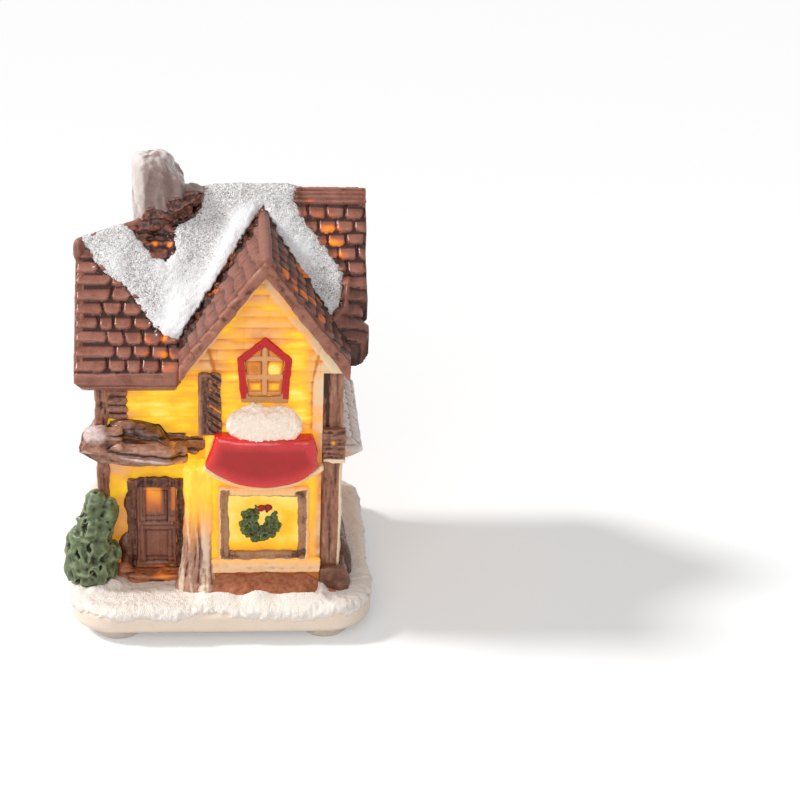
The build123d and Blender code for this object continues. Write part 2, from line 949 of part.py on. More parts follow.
def shrub():
    """Clipped shrub with a second small top."""
    points = [(a * shrub_radius, b * shrub_height) for a, b in shrub_profile_shares]
    outline = Polyline((0, 0), *points, close=True)
    body = revolve(Plane.XZ * make_face(outline), Axis.Z)
    lobe = Pos(shrub_radius / 2, 0, shrub_height - 2 * shrub_lobe_radius) * Sphere(shrub_lobe_radius)
    x = -base_width / 2 + shrub_inset_x
    y = -base_depth / 2 + shrub_inset_y
    house = block((-house_half, house_half), (house_front, house_back), (base_top, ridge_z))
    return biggest(Pos(x, y, base_top) * (body + lobe) - house - wing_corner_post())


def base_snow(standing):
    """Snow on the base round everything that stands on it."""
    inset = 2 * ground_inset
    sheet = extrude(
        RectangleRounded(base_width - inset, base_depth - inset, base_corner_radius - ground_inset),
        amount=ground_snow,
    )
    rim = sheet.edges().group_by(Axis.Z)[-1]
    sheet = Pos(0, 0, base_top) * fillet(rim, ground_snow * 2 / 3)
    sheet -= block((-house_half, house_half), (house_front, house_back), (base_bottom, ridge_z))
    sheet -= block((bay_left, bay_right), (bay_front, house_front + overrun), (base_bottom, ridge_z))
    for piece in standing:
        sheet -= piece
    return biggest(sheet)


# Levels inside the light unit, from its underside up
cover_top = base_bottom + cover_height
cell_bottom = cover_top + cover_gap
cell_top = cell_bottom + cell_height
pocket_top = cell_top + contact_thickness
unit_top = base_bottom + unit_height
switch_bottom = unit_top - switch_height
lug_low = cover_top - lug_height


def lug_pair(clearance, turn_from, turn_to, low, high):
    """Two opposite sectors outside the cover's rim, from one turn of the lug to another."""
    inner = cover_diameter / 4
    outer = cover_diameter / 2 + lug_reach + clearance
    half = math.degrees((lug_length / 2 + clearance) / (cover_diameter / 2))
    span = turn_to - turn_from + 2 * half
    ring = Cylinder(outer, high - low, arc_size=span, align=(Align.CENTER, Align.CENTER, Align.MIN))
    core = Cylinder(inner, high - low, align=(Align.CENTER, Align.CENTER, Align.MIN))
    sector = Pos(0, 0, low) * (Rot(0, 0, lug_angle + turn_from - half) * ring - core)
    return sector + Rot(0, 0, 180) * sector


def battery_cover():
    """Round cover with two lugs and a coin slot."""
    cover = disc(cover_diameter, base_bottom, cover_top) + lug_pair(0, 0, 0, lug_low, cover_top)
    slot = block(
        (-coin_slot_length / 2, coin_slot_length / 2),
        (-coin_slot_width / 2, coin_slot_width / 2),
        (base_bottom - overrun, base_bottom + coin_slot_depth),
    )
    return cover - slot


def cover_space():
    """Room that the cover turns in, with the notches its lugs leave by."""
    top = cover_top + cover_gap
    room = disc(cover_diameter + 2 * cover_fit, base_bottom - overrun, top)
    track = lug_pair(lug_fit, -lug_turn, 0, lug_low - lug_fit, top)
    notch = lug_pair(lug_fit, -lug_turn, -lug_turn, base_bottom - overrun, top)
    return room + track + notch


def switch_room(clearance, low, high):
    """Box round the switch with a clearance."""
    return block(
        (switch_offset_x - switch_width / 2 - clearance, switch_offset_x + switch_width / 2 + clearance),
        (-switch_length / 2 - clearance, switch_length / 2 + clearance),
        (low, high),
    )


def positive_contact():
    """Strip that stands against the cell's rim."""
    face = cell_offset_x - cell_diameter / 2
    return block(
        (face - contact_thickness, face),
        (-contact_width / 2, contact_width / 2),
        (cell_bottom, unit_top),
    )


def negative_contact():
    """Strip on the cell's upper face with a tab up to the board."""
    end = cell_offset_x + contact_length / 2
    width = (-contact_width / 2, contact_width / 2)
    strip = block((cell_offset_x - contact_length / 2, end), width, (cell_top, pocket_top))
    return strip + block((end - contact_thickness, end), width, (pocket_top, unit_top))


def light_unit_housing():
    """Moulded plug with a flange, the cell's pocket and the switch's pocket."""
    plug = disc(flange_diameter, base_bottom, base_bottom + flange_height)
    plug += disc(unit_diameter, base_bottom, unit_top)
    plug -= Pos(cell_offset_x, 0, 0) * cover_space()
    plug -= Pos(cell_offset_x, 0, 0) * disc(cell_diameter + 2 * cell_fit, base_bottom, pocket_top)
    plug -= switch_room(0, switch_bottom, unit_top + overrun)
    run = slider_length + switch_travel
    plug -= block(
        (switch_offset_x - slider_width / 2 - slider_fit, switch_offset_x + slider_width / 2 + slider_fit),
        (-run / 2 - slider_fit, run / 2 + slider_fit),
        (base_bottom - overrun, switch_bottom + overrun),
    )
    return biggest(plug - positive_contact() - negative_contact())


def switch_body():
    """Slide switch with the slot that its slider runs in."""
    body = switch_room(0, switch_bottom, unit_top)
    run = slider_length + switch_travel
    body -= block(
        (switch_offset_x - slider_width / 2 - slider_fit, switch_offset_x + slider_width / 2 + slider_fit),
        (-run / 2 - slider_fit, run / 2 + slider_fit),
        (switch_bottom - overrun, switch_bottom + slider_root + slider_fit),
    )
    return body


def switch_slider():
    """Slider at the on end of its run."""
    start = -(slider_length + switch_travel) / 2
    return block(
        (switch_offset_x - slider_width / 2, switch_offset_x + slider_width / 2),
        (start, start + slider_length),
        (base_bottom, switch_bottom + slider_root),
    )


def circuit_board():
    """Round board on the housing's top, with the lamp's seat."""
    return disc(board_diameter, unit_top, unit_top + board_height)


def led_lamp():
    """Domed lamp on its flange."""
    low = unit_top + board_height
    dome = led_height - led_diameter / 2
    lamp = disc(led_flange_diameter, low, low + led_flange_height) + disc(led_diameter, low, low + dome)
    return lamp + Pos(0, 0, low + dome) * Sphere(led_diameter / 2)


def coin_cell():
    """Flat round cell."""
    return disc(cell_diameter, cell_bottom, cell_top)


def place(piece, x):
    """Piece of the light unit moved to its place under the house."""
    return Pos(x, unit_offset_y, 0) * piece


standing = [
    bay_post_left(), bay_post_right(), post_foot(), wing_corner_post(), door_step(),
    bay_strip(), side_footing(), shrub(),
]
parts = {
    "base_plinth": base_plinth(),
    "base_snow": base_snow(standing),
    "house_walls": house_walls(),
    "bay_walls": bay_walls(),
    "main_roof": main_roof(),
    "gable_roof": gable_roof(),
    "gable_rakes": gable_rakes(),
    "ridge_cap": ridge_cap(),
    "verge_board": verge_board(),
    "chimney": chimney(),
    "roof_snow": roof_snow(),
    "door_canopy": door_canopy(),
    "side_canopy": side_canopy(),
    "corner_bracket": corner_bracket(),
    "door_frame": door_frame(),
    "door_leaf": door_leaf(),
    "door_knob": door_knob(),
    "door_step": door_step(),
    "bay_post_left": bay_post_left(),
    "bay_post_right": bay_post_right(),
    "post_foot": post_foot(),
    "upper_post_left": upper_post_left(),
    "wing_corner_post": wing_corner_post(),
    "plank_stack": plank_stack(),
    "upper_window_frame": window_ring(upper_window_outline(), upper_window_bar, upper_window_proud),
    "upper_window_pane": upper_window_pane(),
    "lower_window_frame": window_ring(lower_window_outline(), lower_window_bar, lower_window_proud),
    "lower_window_pane": window_pane(lower_window_outline(), lower_window_bar, pane_proud),
    "wreath": wreath(),
    "wreath_bow": wreath_bow(),
    "sign_board": sign_board(),
    "sign_ledge": sign_ledge(),
    "sign_snow": sign_snow(),
    "bay_sill": bay_sill(),
    "bay_strip": bay_strip(),
    "side_footing": side_footing(),
    "shrub": shrub(),
    "light_unit_housing": place(light_unit_housing(), 0),
    "battery_cover": place(battery_cover(), cell_offset_x),
    "coin_cell": place(coin_cell(), cell_offset_x),
    "positive_contact": place(positive_contact(), 0),
    "negative_contact": place(negative_contact(), 0),
    "circuit_board": place(circuit_board(), 0),
    "led_lamp": place(led_lamp(), 0),
    "switch_body": place(switch_body(), 0),
    "switch_slider": place(switch_slider(), 0),
}
for side_x, side_name in ((-1, "left"), (1, "right")):
    for side_y, end_name in ((-1, "front"), (1, "back")):
        spot = Pos(side_x * (base_width / 2 - foot_inset_x), side_y * (base_depth / 2 - foot_inset_y), 0)
        parts[f"foot_{end_name}_{side_name}"] = spot * foot()

os.makedirs("parts", exist_ok=True)
for name, piece in parts.items():
    export_step(piece, f"parts/{name}.step")
print(len(parts), "nodes")
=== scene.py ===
# %% [markdown]
# # A small lit village house
# This lesson dresses a glazed ceramic house that an amber lamp lights from inside. The frame holds the exact
# sizes of every piece, so it is loaded first and each new piece is made in the same place and at the same size.
# Sizes below are in millimetres, and a piece is turned to metres only when its mesh is written.

# %% Load the frame
import math
import bpy
import numpy as np
from mathutils import Matrix, Vector


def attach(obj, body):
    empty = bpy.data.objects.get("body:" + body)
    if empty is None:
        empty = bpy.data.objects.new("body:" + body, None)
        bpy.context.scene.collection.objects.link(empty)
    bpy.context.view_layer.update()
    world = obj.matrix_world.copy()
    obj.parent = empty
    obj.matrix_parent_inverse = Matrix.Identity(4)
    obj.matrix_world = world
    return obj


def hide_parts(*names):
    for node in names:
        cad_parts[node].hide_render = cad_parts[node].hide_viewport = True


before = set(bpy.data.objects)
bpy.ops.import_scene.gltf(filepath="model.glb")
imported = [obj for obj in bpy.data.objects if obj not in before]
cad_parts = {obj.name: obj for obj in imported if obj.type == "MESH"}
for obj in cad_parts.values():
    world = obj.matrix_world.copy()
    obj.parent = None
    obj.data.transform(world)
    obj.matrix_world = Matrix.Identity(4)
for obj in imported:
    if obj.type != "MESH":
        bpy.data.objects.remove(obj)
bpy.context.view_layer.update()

MM = 0.001
scene = bpy.context.scene
scene.view_settings.view_transform = "Standard"

# %% [markdown]
# The photograph looks at the front from a little above, and the house stands left of the middle. A lens shift
# would also cut the house in other views. The camera is turned instead, so that a point inside the house falls
# on its own pixel and the walls stay upright there.

# %% Camera
PICTURE = 800
FOCAL_PX = 2000.0
AIM_PX = (222.0, 378.0)
AIM = Vector((0, 0, 45)) * MM
REACH, RISE = 411 * MM, math.radians(24)


def ray(pixel):
    return Vector(((pixel[0] - PICTURE / 2) / FOCAL_PX, (PICTURE / 2 - pixel[1]) / FOCAL_PX, -1)).normalized()


def axes(ahead, up):
    right = ahead.cross(up).normalized()
    return Matrix((right, right.cross(ahead), ahead)).transposed()


eye = AIM + REACH * Vector((0, -math.cos(RISE), math.sin(RISE)))
own = axes(ray(AIM_PX), ray((AIM_PX[0], 0)))
world_axes = axes((AIM - eye).normalized(), Vector((0, 0, 1)))
lens = bpy.data.cameras.new("camera")
lens.sensor_width, lens.lens = 36.0, 36.0 * FOCAL_PX / PICTURE
lens.clip_start, lens.clip_end = 0.01, 20
camera = bpy.data.objects.new("camera", lens)
camera.matrix_world = Matrix.Translation(eye) @ (world_axes @ own.transposed()).to_4x4()
scene.collection.objects.link(camera)
scene.camera = camera
print("camera at", [round(v, 4) for v in eye], "lens", lens.lens)

# %% [markdown]
# Hand-made ceramic is never quite even. Most of the shapes below get their unevenness from one smooth noise,
# made from a fixed shuffle of whole numbers, so every run gives the same house.

# %% Noise helpers
BITS = np.int64(0xFFFFFFFF)


def shuffle(*numbers):
    """Fixed random value from 0 to 1 for whole numbers."""
    total = np.int64(2166136261)
    for number in numbers:
        total = ((total ^ (np.asarray(number, np.int64) & BITS)) * np.int64(16777619)) & BITS
        total = (total ^ (total >> 15)) * np.int64(739981) & BITS
    return ((total ^ (total >> 13)) & np.int64(0xFFFFFF)) / 0xFFFFFF


def noise(points, size, seed=0):
    """Smooth noise from -1 to 1 over points in millimetres, with lumps of about that size."""
    at = np.asarray(points, float) / size
    low = np.floor(at).astype(np.int64)
    part = at - low
    part = part * part * (3 - 2 * part)
    out = 0
    for corner in range(2 ** at.shape[1]):
        bits = [(corner >> axis) & 1 for axis in range(at.shape[1])]
        weight = np.prod([part[:, a] if bit else 1 - part[:, a] for a, bit in enumerate(bits)], axis=0)
        out = out + weight * shuffle(*[low[:, a] + bit for a, bit in enumerate(bits)], seed)
    return 2 * out - 1


def rough(points, size, seed=0, layers=3):
    """Noise in layers, each half as large and half as strong."""
    return sum(noise(points, size / 2**k, seed + k) / 2**k for k in range(layers)) / (2 - 0.5 ** (layers - 1))


def knobs(points, size, seed=0, order=2):
    """Distance to the nearest of scattered seeds, as a share of their spacing, and the nearest one's number.

    Order 2 gives round cells and order 1 diamonds."""
    at = np.asarray(points, float) / size
    low = np.floor(at).astype(np.int64)
    best, which = np.full(len(at), 9.0), np.zeros(len(at))
    steps = [(a, b, c) for a in (-1, 0, 1) for b in (-1, 0, 1) for c in (-1, 0, 1)]
    for step in steps:
        cell = low + np.array(step)
        spot = np.stack([cell[:, a] + shuffle(*cell.T, seed + 7 * a) for a in range(3)], axis=1)
        gap = np.linalg.norm(at - spot, order, axis=1)
        closer = gap < best
        best[closer] = gap[closer]
        which[closer] = shuffle(*cell.T, seed + 99)[closer]
    return best, which


def ramp(value, start, end):
    """Soft step from 0 at start to 1 at end."""
    t = np.clip((np.asarray(value, float) - start) / (end - start), 0, 1)
    return t * t * (3 - 2 * t)


print("noise at three spots", noise(np.array([[0.2, 0, 0], [1.4, 2, 1], [5, 5, 5.5]]), 2.0).round(3))

# %% [markdown]
# A slip-cast piece has soft edges everywhere. A frame node is copied, turned into an even skin of small squares
# by the voxel remesh, and softened by moving each point towards its neighbours. Balls can be added before the
# remesh, which then melts them into the piece as a modeller presses on a lump of clay.

# %% Casting helpers


def ball(centre, radii, rings=14):
    """Closed ball as points and faces."""
    turns = np.linspace(0, 2 * math.pi, 2 * rings, endpoint=False)
    levels = np.linspace(0, math.pi, rings + 1)[1:-1]
    points = [[math.sin(a) * math.cos(t), math.sin(a) * math.sin(t), math.cos(a)] for a in levels for t in turns]
    points += [[0, 0, 1], [0, 0, -1]]
    n, last = len(turns), len(levels) - 1
    faces = []
    for row in range(last):
        for k in range(n):
            a, b = row * n + k, row * n + (k + 1) % n
            faces.append((a, a + n, b + n, b))
    top, low = len(points) - 2, len(points) - 1
    faces += [(top, k, (k + 1) % n) for k in range(n)]
    faces += [(low, last * n + (k + 1) % n, last * n + k) for k in range(n)]
    return np.array(points) * radii + centre, faces


def node_mesh(name):
    """Points in millimetres and faces of a frame node."""
    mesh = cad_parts[name].data
    points = np.empty(3 * len(mesh.vertices))
    mesh.vertices.foreach_get("co", points)
    return points.reshape(-1, 3) / MM, [tuple(face.vertices) for face in mesh.polygons]


def merged(shells):
    """Several closed shells as one list of points and faces."""
    points, faces, start = [], [], 0
    for shell_points, shell_faces in shells:
        points.append(np.asarray(shell_points, float))
        faces += [tuple(start + corner for corner in face) for face in shell_faces]
        start += len(shell_points)
    return np.concatenate(points), faces


def remeshed(shells, voxel):
    """One even skin of squares round all the shells."""
    points, faces = merged(shells)
    mesh = bpy.data.meshes.new("clay")
    mesh.from_pydata(points.tolist(), [], faces)
    clay = bpy.data.objects.new("clay", mesh)
    scene.collection.objects.link(clay)
    skin = clay.modifiers.new("skin", "REMESH")
    skin.mode, skin.voxel_size = "VOXEL", voxel
    result = bpy.data.meshes.new_from_object(clay.evaluated_get(bpy.context.evaluated_depsgraph_get()))
    points = np.empty(3 * len(result.vertices))
    result.vertices.foreach_get("co", points)
    corners = np.empty(len(result.loops), np.int64)
    result.loops.foreach_get("vertex_index", corners)
    bpy.data.objects.remove(clay)
    bpy.data.meshes.remove(mesh)
    bpy.data.meshes.remove(result)
    return points.reshape(-1, 3), corners.reshape(-1, 4)


def softened(points, faces, rounds, amount=0.5):
    """Points moved towards the mean of their neighbours."""
    ends = np.concatenate([faces[:, [k, (k + 1) % 4]] for k in range(4)])
    count = np.bincount(ends[:, 0], minlength=len(points))[:, None]
    for _ in range(rounds):
        total = np.stack(
            [np.bincount(ends[:, 0], points[ends[:, 1], a], minlength=len(points)) for a in range(3)], axis=1
        )
        points = points + amount * (total / np.maximum(count, 1) - points)
    return points


def outward(points, faces):
    """Outward direction at each point."""
    face = np.cross(points[faces[:, 2]] - points[faces[:, 0]], points[faces[:, 3]] - points[faces[:, 1]])
    total = np.zeros_like(points)
    for k in range(4):
        for a in range(3):
            total[:, a] += np.bincount(faces[:, k], face[:, a], minlength=len(points))
    return total / np.maximum(np.linalg.norm(total, axis=1, keepdims=True), 1e-12)


def cavity(points, faces, rounds=5, depth=0.12):
    """1 on ridges and -1 in hollows, from the distance to a smoother copy of the piece."""
    lift = np.sum((points - softened(points, faces, rounds)) * outward(points, faces), axis=1)
    return np.clip(lift / depth, -1, 1)


def cast(nodes, voxel=0.25, rounds=3, wobble=0.12, lump=2.5, seed=0, balls=()):
    """Soft uneven skin of frame nodes with pressed-on lumps."""
    shells = [node_mesh(name) for name in nodes] + [ball(np.array(c), np.array(r)) for c, r in balls]
    points, faces = remeshed(shells, voxel)
    points = softened(points, faces, rounds)
    points = points + outward(points, faces) * (wobble * rough(points, lump, seed))[:, None]
    return points, faces


print("ball with", len(ball(np.zeros(3), np.ones(3))[1]), "faces")

# %% [markdown]
# Every piece goes out the same way: its mesh is written in metres, values for the finish are stored on its
# points, and it is told which body carries it and which frame nodes it stands for.

# %% Writing a piece


def piece(name, points, faces, material, nodes=(), slot=None, body="house", **values):
    """Object with smooth faces, point values for its finish, and its place in the frame."""
    mesh = bpy.data.meshes.new(name)
    faces = faces.tolist() if isinstance(faces, np.ndarray) else faces
    mesh.from_pydata((np.asarray(points) * MM).tolist(), [], faces)
    mesh.polygons.foreach_set("use_smooth", [True] * len(mesh.polygons))
    for key, value in values.items():
        layer = mesh.attributes.new(key, "FLOAT", "POINT")
        layer.data.foreach_set("value", np.broadcast_to(np.asarray(value, np.float32), len(points)).copy())
    mesh.materials.append(material)
    made = bpy.data.objects.new(name, mesh)
    scene.collection.objects.link(made)
    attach(made, body)
    if nodes:
        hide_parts(*nodes)
    print(name, len(faces), "faces")
    return made


def slab(top, bottom, mask, floor=False):
    """Closed sheet over the cells of a grid that a mask keeps: points, faces and each point's grid number.

    The underside is one face on the outline's lower points, or the grid again where floor is set."""
    wide, deep = top.shape[:2]
    i, j = np.nonzero(mask)
    a = i * deep + j
    quads = np.stack([a, a + deep, a + deep + 1, a + 1], axis=1)
    ends = np.concatenate([quads[:, [k, (k + 1) % 4]] for k in range(4)])
    total = wide * deep
    codes = ends[:, 0] * total + ends[:, 1]
    rim = ends[~np.isin(codes, ends[:, 1] * total + ends[:, 0])]
    used = np.unique(quads)
    upper = np.full(total, -1)
    upper[used] = np.arange(len(used))
    below = used if floor else np.unique(rim)
    lower = np.full(total, -1)
    lower[below] = len(used) + np.arange(len(below))
    points = np.concatenate([top.reshape(-1, 3)[used], bottom.reshape(-1, 3)[below]])
    faces = [tuple(q) for q in upper[quads].tolist()]
    sides = np.stack([upper[rim[:, 1]], upper[rim[:, 0]], lower[rim[:, 0]], lower[rim[:, 1]]], axis=1)
    faces += [tuple(q) for q in sides.tolist()]
    if floor:
        faces += [tuple(q) for q in lower[quads[:, ::-1]].tolist()]
    else:
        after = dict(rim.tolist())
        while after:
            first, loop = next(iter(after)), []
            spot = first
            while spot in after:
                loop.append(int(lower[spot]))
                spot = after.pop(spot)
            faces.append(tuple(reversed(loop)))
    return points, faces, np.concatenate([used, below])


print("slab of 4 cells has", len(slab(np.zeros((3, 3, 3)), np.zeros((3, 3, 3)), np.ones((2, 2), bool))[1]), "faces")

# %% [markdown]
# Three finishes come back on many pieces, so each is a node group. The glaze has a base tone that drifts, a dark
# wash that stays in hollows and a worn tone on ridges; on many pieces the same value also carries painted shade in
# gaps and under tile rows and painted highlight on lips and crests. The lamp's glow is painted light: a value on
# the points turns into amber emission. The snow is a grain of pale and dark crystals.

# %% Shader groups


def tone(red, green, blue):
    """Screen colour from 0 to 255 as the shader wants it."""
    parts = [value / 255 for value in (red, green, blue)]
    return [p / 12.92 if p <= 0.04045 else ((p + 0.055) / 1.055) ** 2.4 for p in parts] + [1.0]


def group(name, inputs, outputs):
    """Empty node group with named sockets: (tree, input node, output node)."""
    tree = bpy.data.node_groups.new(name, "ShaderNodeTree")
    for kind, sockets in (("INPUT", inputs), ("OUTPUT", outputs)):
        for label, socket, value in sockets:
            made = tree.interface.new_socket(label, in_out=kind, socket_type=socket)
            if value is not None:
                made.default_value = value
    return tree, tree.nodes.new("NodeGroupInput"), tree.nodes.new("NodeGroupOutput")


def node(tree, kind, **settings):
    """New node with its settings."""
    made = tree.nodes.new(kind)
    for key, value in settings.items():
        setattr(made, key, value)
    return made


def wire(tree, source, target):
    tree.links.new(source, target)


def point_value(tree, name):
    """Output that reads a value stored on the points."""
    return node(tree, "ShaderNodeAttribute", attribute_name=name).outputs["Fac"]


def spread(tree, source, low, high, to_low=0.0, to_high=1.0):
    """Value mapped from one range to another, clamped."""
    made = node(tree, "ShaderNodeMapRange", clamp=True)
    wire(tree, source, made.inputs["Value"])
    for label, value in zip(("From Min", "From Max", "To Min", "To Max"), (low, high, to_low, to_high)):
        made.inputs[label].default_value = value
    return made.outputs["Result"]


def grain(tree, scale, detail=3.0, roughness=0.55):
    """Noise over the piece's own coordinates."""
    spot = node(tree, "ShaderNodeTexCoord")
    made = node(tree, "ShaderNodeTexNoise")
    wire(tree, spot.outputs["Object"], made.inputs["Vector"])
    made.inputs["Scale"].default_value = scale
    made.inputs["Detail"].default_value = detail
    made.inputs["Roughness"].default_value = roughness
    return made.outputs["Fac"]


def blend(tree, factor, first, second, mode="MIX"):
    """Two colours mixed. An end that is a socket is wired, a colour is set."""
    made = node(tree, "ShaderNodeMix", data_type="RGBA", blend_type=mode)
    if isinstance(factor, float):
        made.inputs[0].default_value = factor
    else:
        wire(tree, factor, made.inputs[0])
    for end, slot in ((first, made.inputs[6]), (second, made.inputs[7])):
        if isinstance(end, bpy.types.NodeSocket):
            wire(tree, end, slot)
        else:
            slot.default_value = end
    return made.outputs[2]


def sums(tree, operation, first, second):
    """Math on two values, where a number is set and a socket is wired."""
    made = node(tree, "ShaderNodeMath", operation=operation, use_clamp=False)
    for end, slot in ((first, made.inputs[0]), (second, made.inputs[1])):
        if isinstance(end, bpy.types.NodeSocket):
            wire(tree, end, slot)
        else:
            slot.default_value = end
    return made.outputs[0]


def make_glaze():
    """Brushed glaze: drift of tone, wash in hollows and wear on ridges, which also serve as painted shade and
    highlight.
    """
    colour, value = "NodeSocketColor", "NodeSocketFloat"
    tree, start, end = group(
        "brushed_glaze",
        [("Base", colour, None), ("Wash", colour, None), ("Worn", colour, None), ("Wear", value, 0.6)],
        [("Color", colour, None), ("Roughness", value, None), ("Height", value, None)],
    )
    ridge = point_value(tree, "cavity")
    drift = grain(tree, 420.0, 4.0)
    fine = grain(tree, 2300.0, 3.0)
    streak = sums(tree, "ADD", sums(tree, "MULTIPLY", drift, 0.65), sums(tree, "MULTIPLY", fine, 0.35))
    body = blend(tree, spread(tree, streak, 0.38, 0.66, 0.0, 0.5), start.outputs["Base"], start.outputs["Worn"])
    # The cavity value puts the wash in hollows and the worn tone on ridges: real wash and wear, and on many pieces also
    # painted shade and painted highlight.
    low = sums(tree, "ADD", sums(tree, "MULTIPLY", ridge, -1.0), sums(tree, "MULTIPLY", fine, 0.3))
    body = blend(tree, spread(tree, low, 0.12, 0.75), body, start.outputs["Wash"])
    high = sums(tree, "ADD", ridge, sums(tree, "MULTIPLY", drift, 0.6))
    edge = sums(tree, "MULTIPLY", spread(tree, high, 0.45, 1.15), start.outputs["Wear"])
    body = blend(tree, edge, body, start.outputs["Worn"])
    wire(tree, body, end.inputs["Color"])
    wire(tree, spread(tree, streak, 0.3, 0.7, 0.0, 1.0), end.inputs["Roughness"])
    wire(tree, sums(tree, "ADD", fine, sums(tree, "MULTIPLY", drift, 1.5)), end.inputs["Height"])
    return tree


def make_glow():
    """Painted glow of the lamp through the clay: amber emission from the glow value stored on the points."""
    tree, start, end = group(
        "lamp_glow",
        [("Cool", "NodeSocketColor", None), ("Warm", "NodeSocketColor", None)],
        [("Color", "NodeSocketColor", None), ("Emission", "NodeSocketColor", None)],
    )
    level = point_value(tree, "glow")
    uneven = sums(tree, "MULTIPLY", sums(tree, "SUBTRACT", grain(tree, 260.0, 4.0, 0.6), 0.5), 0.30)
    level = sums(tree, "ADD", level, sums(tree, "MULTIPLY", uneven, spread(tree, level, 0.0, 0.4)))
    stops = (
        (0.0, (0, 0, 0)), (0.22, (46, 14, 0)), (0.45, (132, 58, 0)), (0.66, (168, 116, 2)),
        (0.84, (184, 170, 24)), (1.0, (192, 204, 116)),
    )
    colours = node(tree, "ShaderNodeValToRGB")
    wire(tree, level, colours.inputs["Fac"])
    marks = colours.color_ramp.elements
    for place, colour in stops:
        mark = marks[0] if place == 0.0 else marks[-1] if place == 1.0 else marks.new(place)
        mark.color = tone(*colour)
    wire(tree, colours.outputs["Color"], end.inputs["Emission"])
    warm = blend(tree, spread(tree, level, 0.15, 0.75), start.outputs["Cool"], start.outputs["Warm"])
    wire(tree, warm, end.inputs["Color"])
    return tree


def make_snow():
    """Crystals: pale grains, some grey and a few dark, with a height for the bump."""
    colour, value = "NodeSocketColor", "NodeSocketFloat"
    tree, start, end = group(
        "crystal_snow",
        [("Pale", colour, None), ("Grey", colour, None), ("Dark", colour, None), ("Packed", value, 0.5)],
        [("Color", colour, None), ("Height", value, None), ("Roughness", value, None)],
    )
    spot = node(tree, "ShaderNodeTexCoord")
    cells = node(tree, "ShaderNodeTexVoronoi")
    wire(tree, spot.outputs["Object"], cells.inputs["Vector"])
    cells.inputs["Scale"].default_value = 5000.0
    parts = node(tree, "ShaderNodeSeparateColor")
    wire(tree, cells.outputs["Color"], parts.inputs["Color"])
    patch = grain(tree, 190.0, 3.0)
    # The packed value lets fewer grey and dark crystals show: on the roof it carries painted highlight and painted
    # shade, on the base it is patchy at random.
    packed = sums(tree, "ADD", point_value(tree, "packed"), sums(tree, "MULTIPLY", patch, 0.4))
    loose = spread(tree, packed, 0.2, 0.95, 1.0, 0.06)
    grey = sums(tree, "MULTIPLY", parts.outputs["Red"], loose)
    body = blend(tree, grey, start.outputs["Pale"], start.outputs["Grey"])
    dark = sums(tree, "MULTIPLY", spread(tree, parts.outputs["Green"], 0.955, 0.985), loose)
    body = blend(tree, dark, body, start.outputs["Dark"])
    wire(tree, body, end.inputs["Color"])
    wire(tree, cells.outputs["Distance"], end.inputs["Height"])
    wire(tree, spread(tree, parts.outputs["Blue"], 0.0, 0.3, 0.15, 0.75), end.inputs["Roughness"])
    return tree


glaze_group, glow_group, snow_group = make_glaze(), make_glow(), make_snow()
print("groups:", [tree.name for tree in (glaze_group, glow_group, snow_group)])

# %% [markdown]
# Each finish of the house is a material that places these groups with its own colours. The shader stays in the
# material. A colour that never changes is set straight on the shader.

# %% Materials


def material(name, roughness=0.5, coat=0.0, specular=0.5):
    """New material with its shader: (material, tree, shader)."""
    made = bpy.data.materials.new(name)
    made.use_nodes = True
    shader = made.node_tree.nodes["Principled BSDF"]
    shader.inputs["Roughness"].default_value = roughness
    shader.inputs["Coat Weight"].default_value = coat
    shader.inputs["Coat Roughness"].default_value = 0.12
    shader.inputs["Specular IOR Level"].default_value = specular
    return made, made.node_tree, shader


def placed(tree, shared, **values):
    """A shared group in a material, with its inputs set."""
    made = tree.nodes.new("ShaderNodeGroup")
    made.node_tree = shared
    for key, value in values.items():
        made.inputs[key.capitalize()].default_value = value
    return made


def bumped(tree, shader, height, strength, distance):
    """Fine relief from a height."""
    bump = node(tree, "ShaderNodeBump")
    bump.inputs["Strength"].default_value = strength
    bump.inputs["Distance"].default_value = distance
    wire(tree, height, bump.inputs["Height"])
    wire(tree, bump.outputs["Normal"], shader.inputs["Normal"])


def glazed(
    name, base, wash, worn, wear=0.6, rough_range=(0.22, 0.42), coat=0.35, lit=True, relief=0.35,
    frost=None, warm=(222, 165, 72),
):
    """Glossy brushed glaze that can let the lamp through and take a second tone brushed over it."""
    made, tree, shader = material(name, coat=0.6 * coat, specular=0.25)
    paint = placed(tree, glaze_group, base=tone(*base), wash=tone(*wash), worn=tone(*worn), wear=wear)
    wire(tree, spread(tree, paint.outputs["Roughness"], 0.0, 1.0, *rough_range), shader.inputs["Roughness"])
    colour = paint.outputs["Color"]
    # A second tone brushed over where the point value is high: cream, frost, bars, and on the chimney dust with painted
    # highlight.
    if frost:
        brushed = sums(tree, "ADD", point_value(tree, "frost"), sums(tree, "MULTIPLY", grain(tree, 900.0, 4.0), 0.7))
        colour = blend(tree, spread(tree, brushed, 0.62, 1.0), colour, tone(*frost))
    if lit:
        lamp = placed(tree, glow_group, warm=tone(*warm))
        wire(tree, colour, lamp.inputs["Cool"])
        wire(tree, lamp.outputs["Color"], shader.inputs["Base Color"])
        wire(tree, lamp.outputs["Emission"], shader.inputs["Emission Color"])
        shader.inputs["Emission Strength"].default_value = 1.0
    else:
        wire(tree, colour, shader.inputs["Base Color"])
    bumped(tree, shader, paint.outputs["Height"], relief, 0.00012)
    return made


def snowy(name, pale, grey, dark, relief=0.8, shine=0.0):
    """Crystal snow, with an even painted glow of the lamp's warmth, as strong as the shine, for snow over a lit wall.
    """
    made, tree, shader = material(name, specular=0.6)
    snow = placed(tree, snow_group, pale=tone(*pale), grey=tone(*grey), dark=tone(*dark))
    wire(tree, snow.outputs["Color"], shader.inputs["Base Color"])
    wire(tree, snow.outputs["Roughness"], shader.inputs["Roughness"])
    shader.inputs["Emission Color"].default_value = tone(255, 204, 132)
    shader.inputs["Emission Strength"].default_value = shine
    bumped(tree, shader, snow.outputs["Height"], relief, 0.00025)
    return made
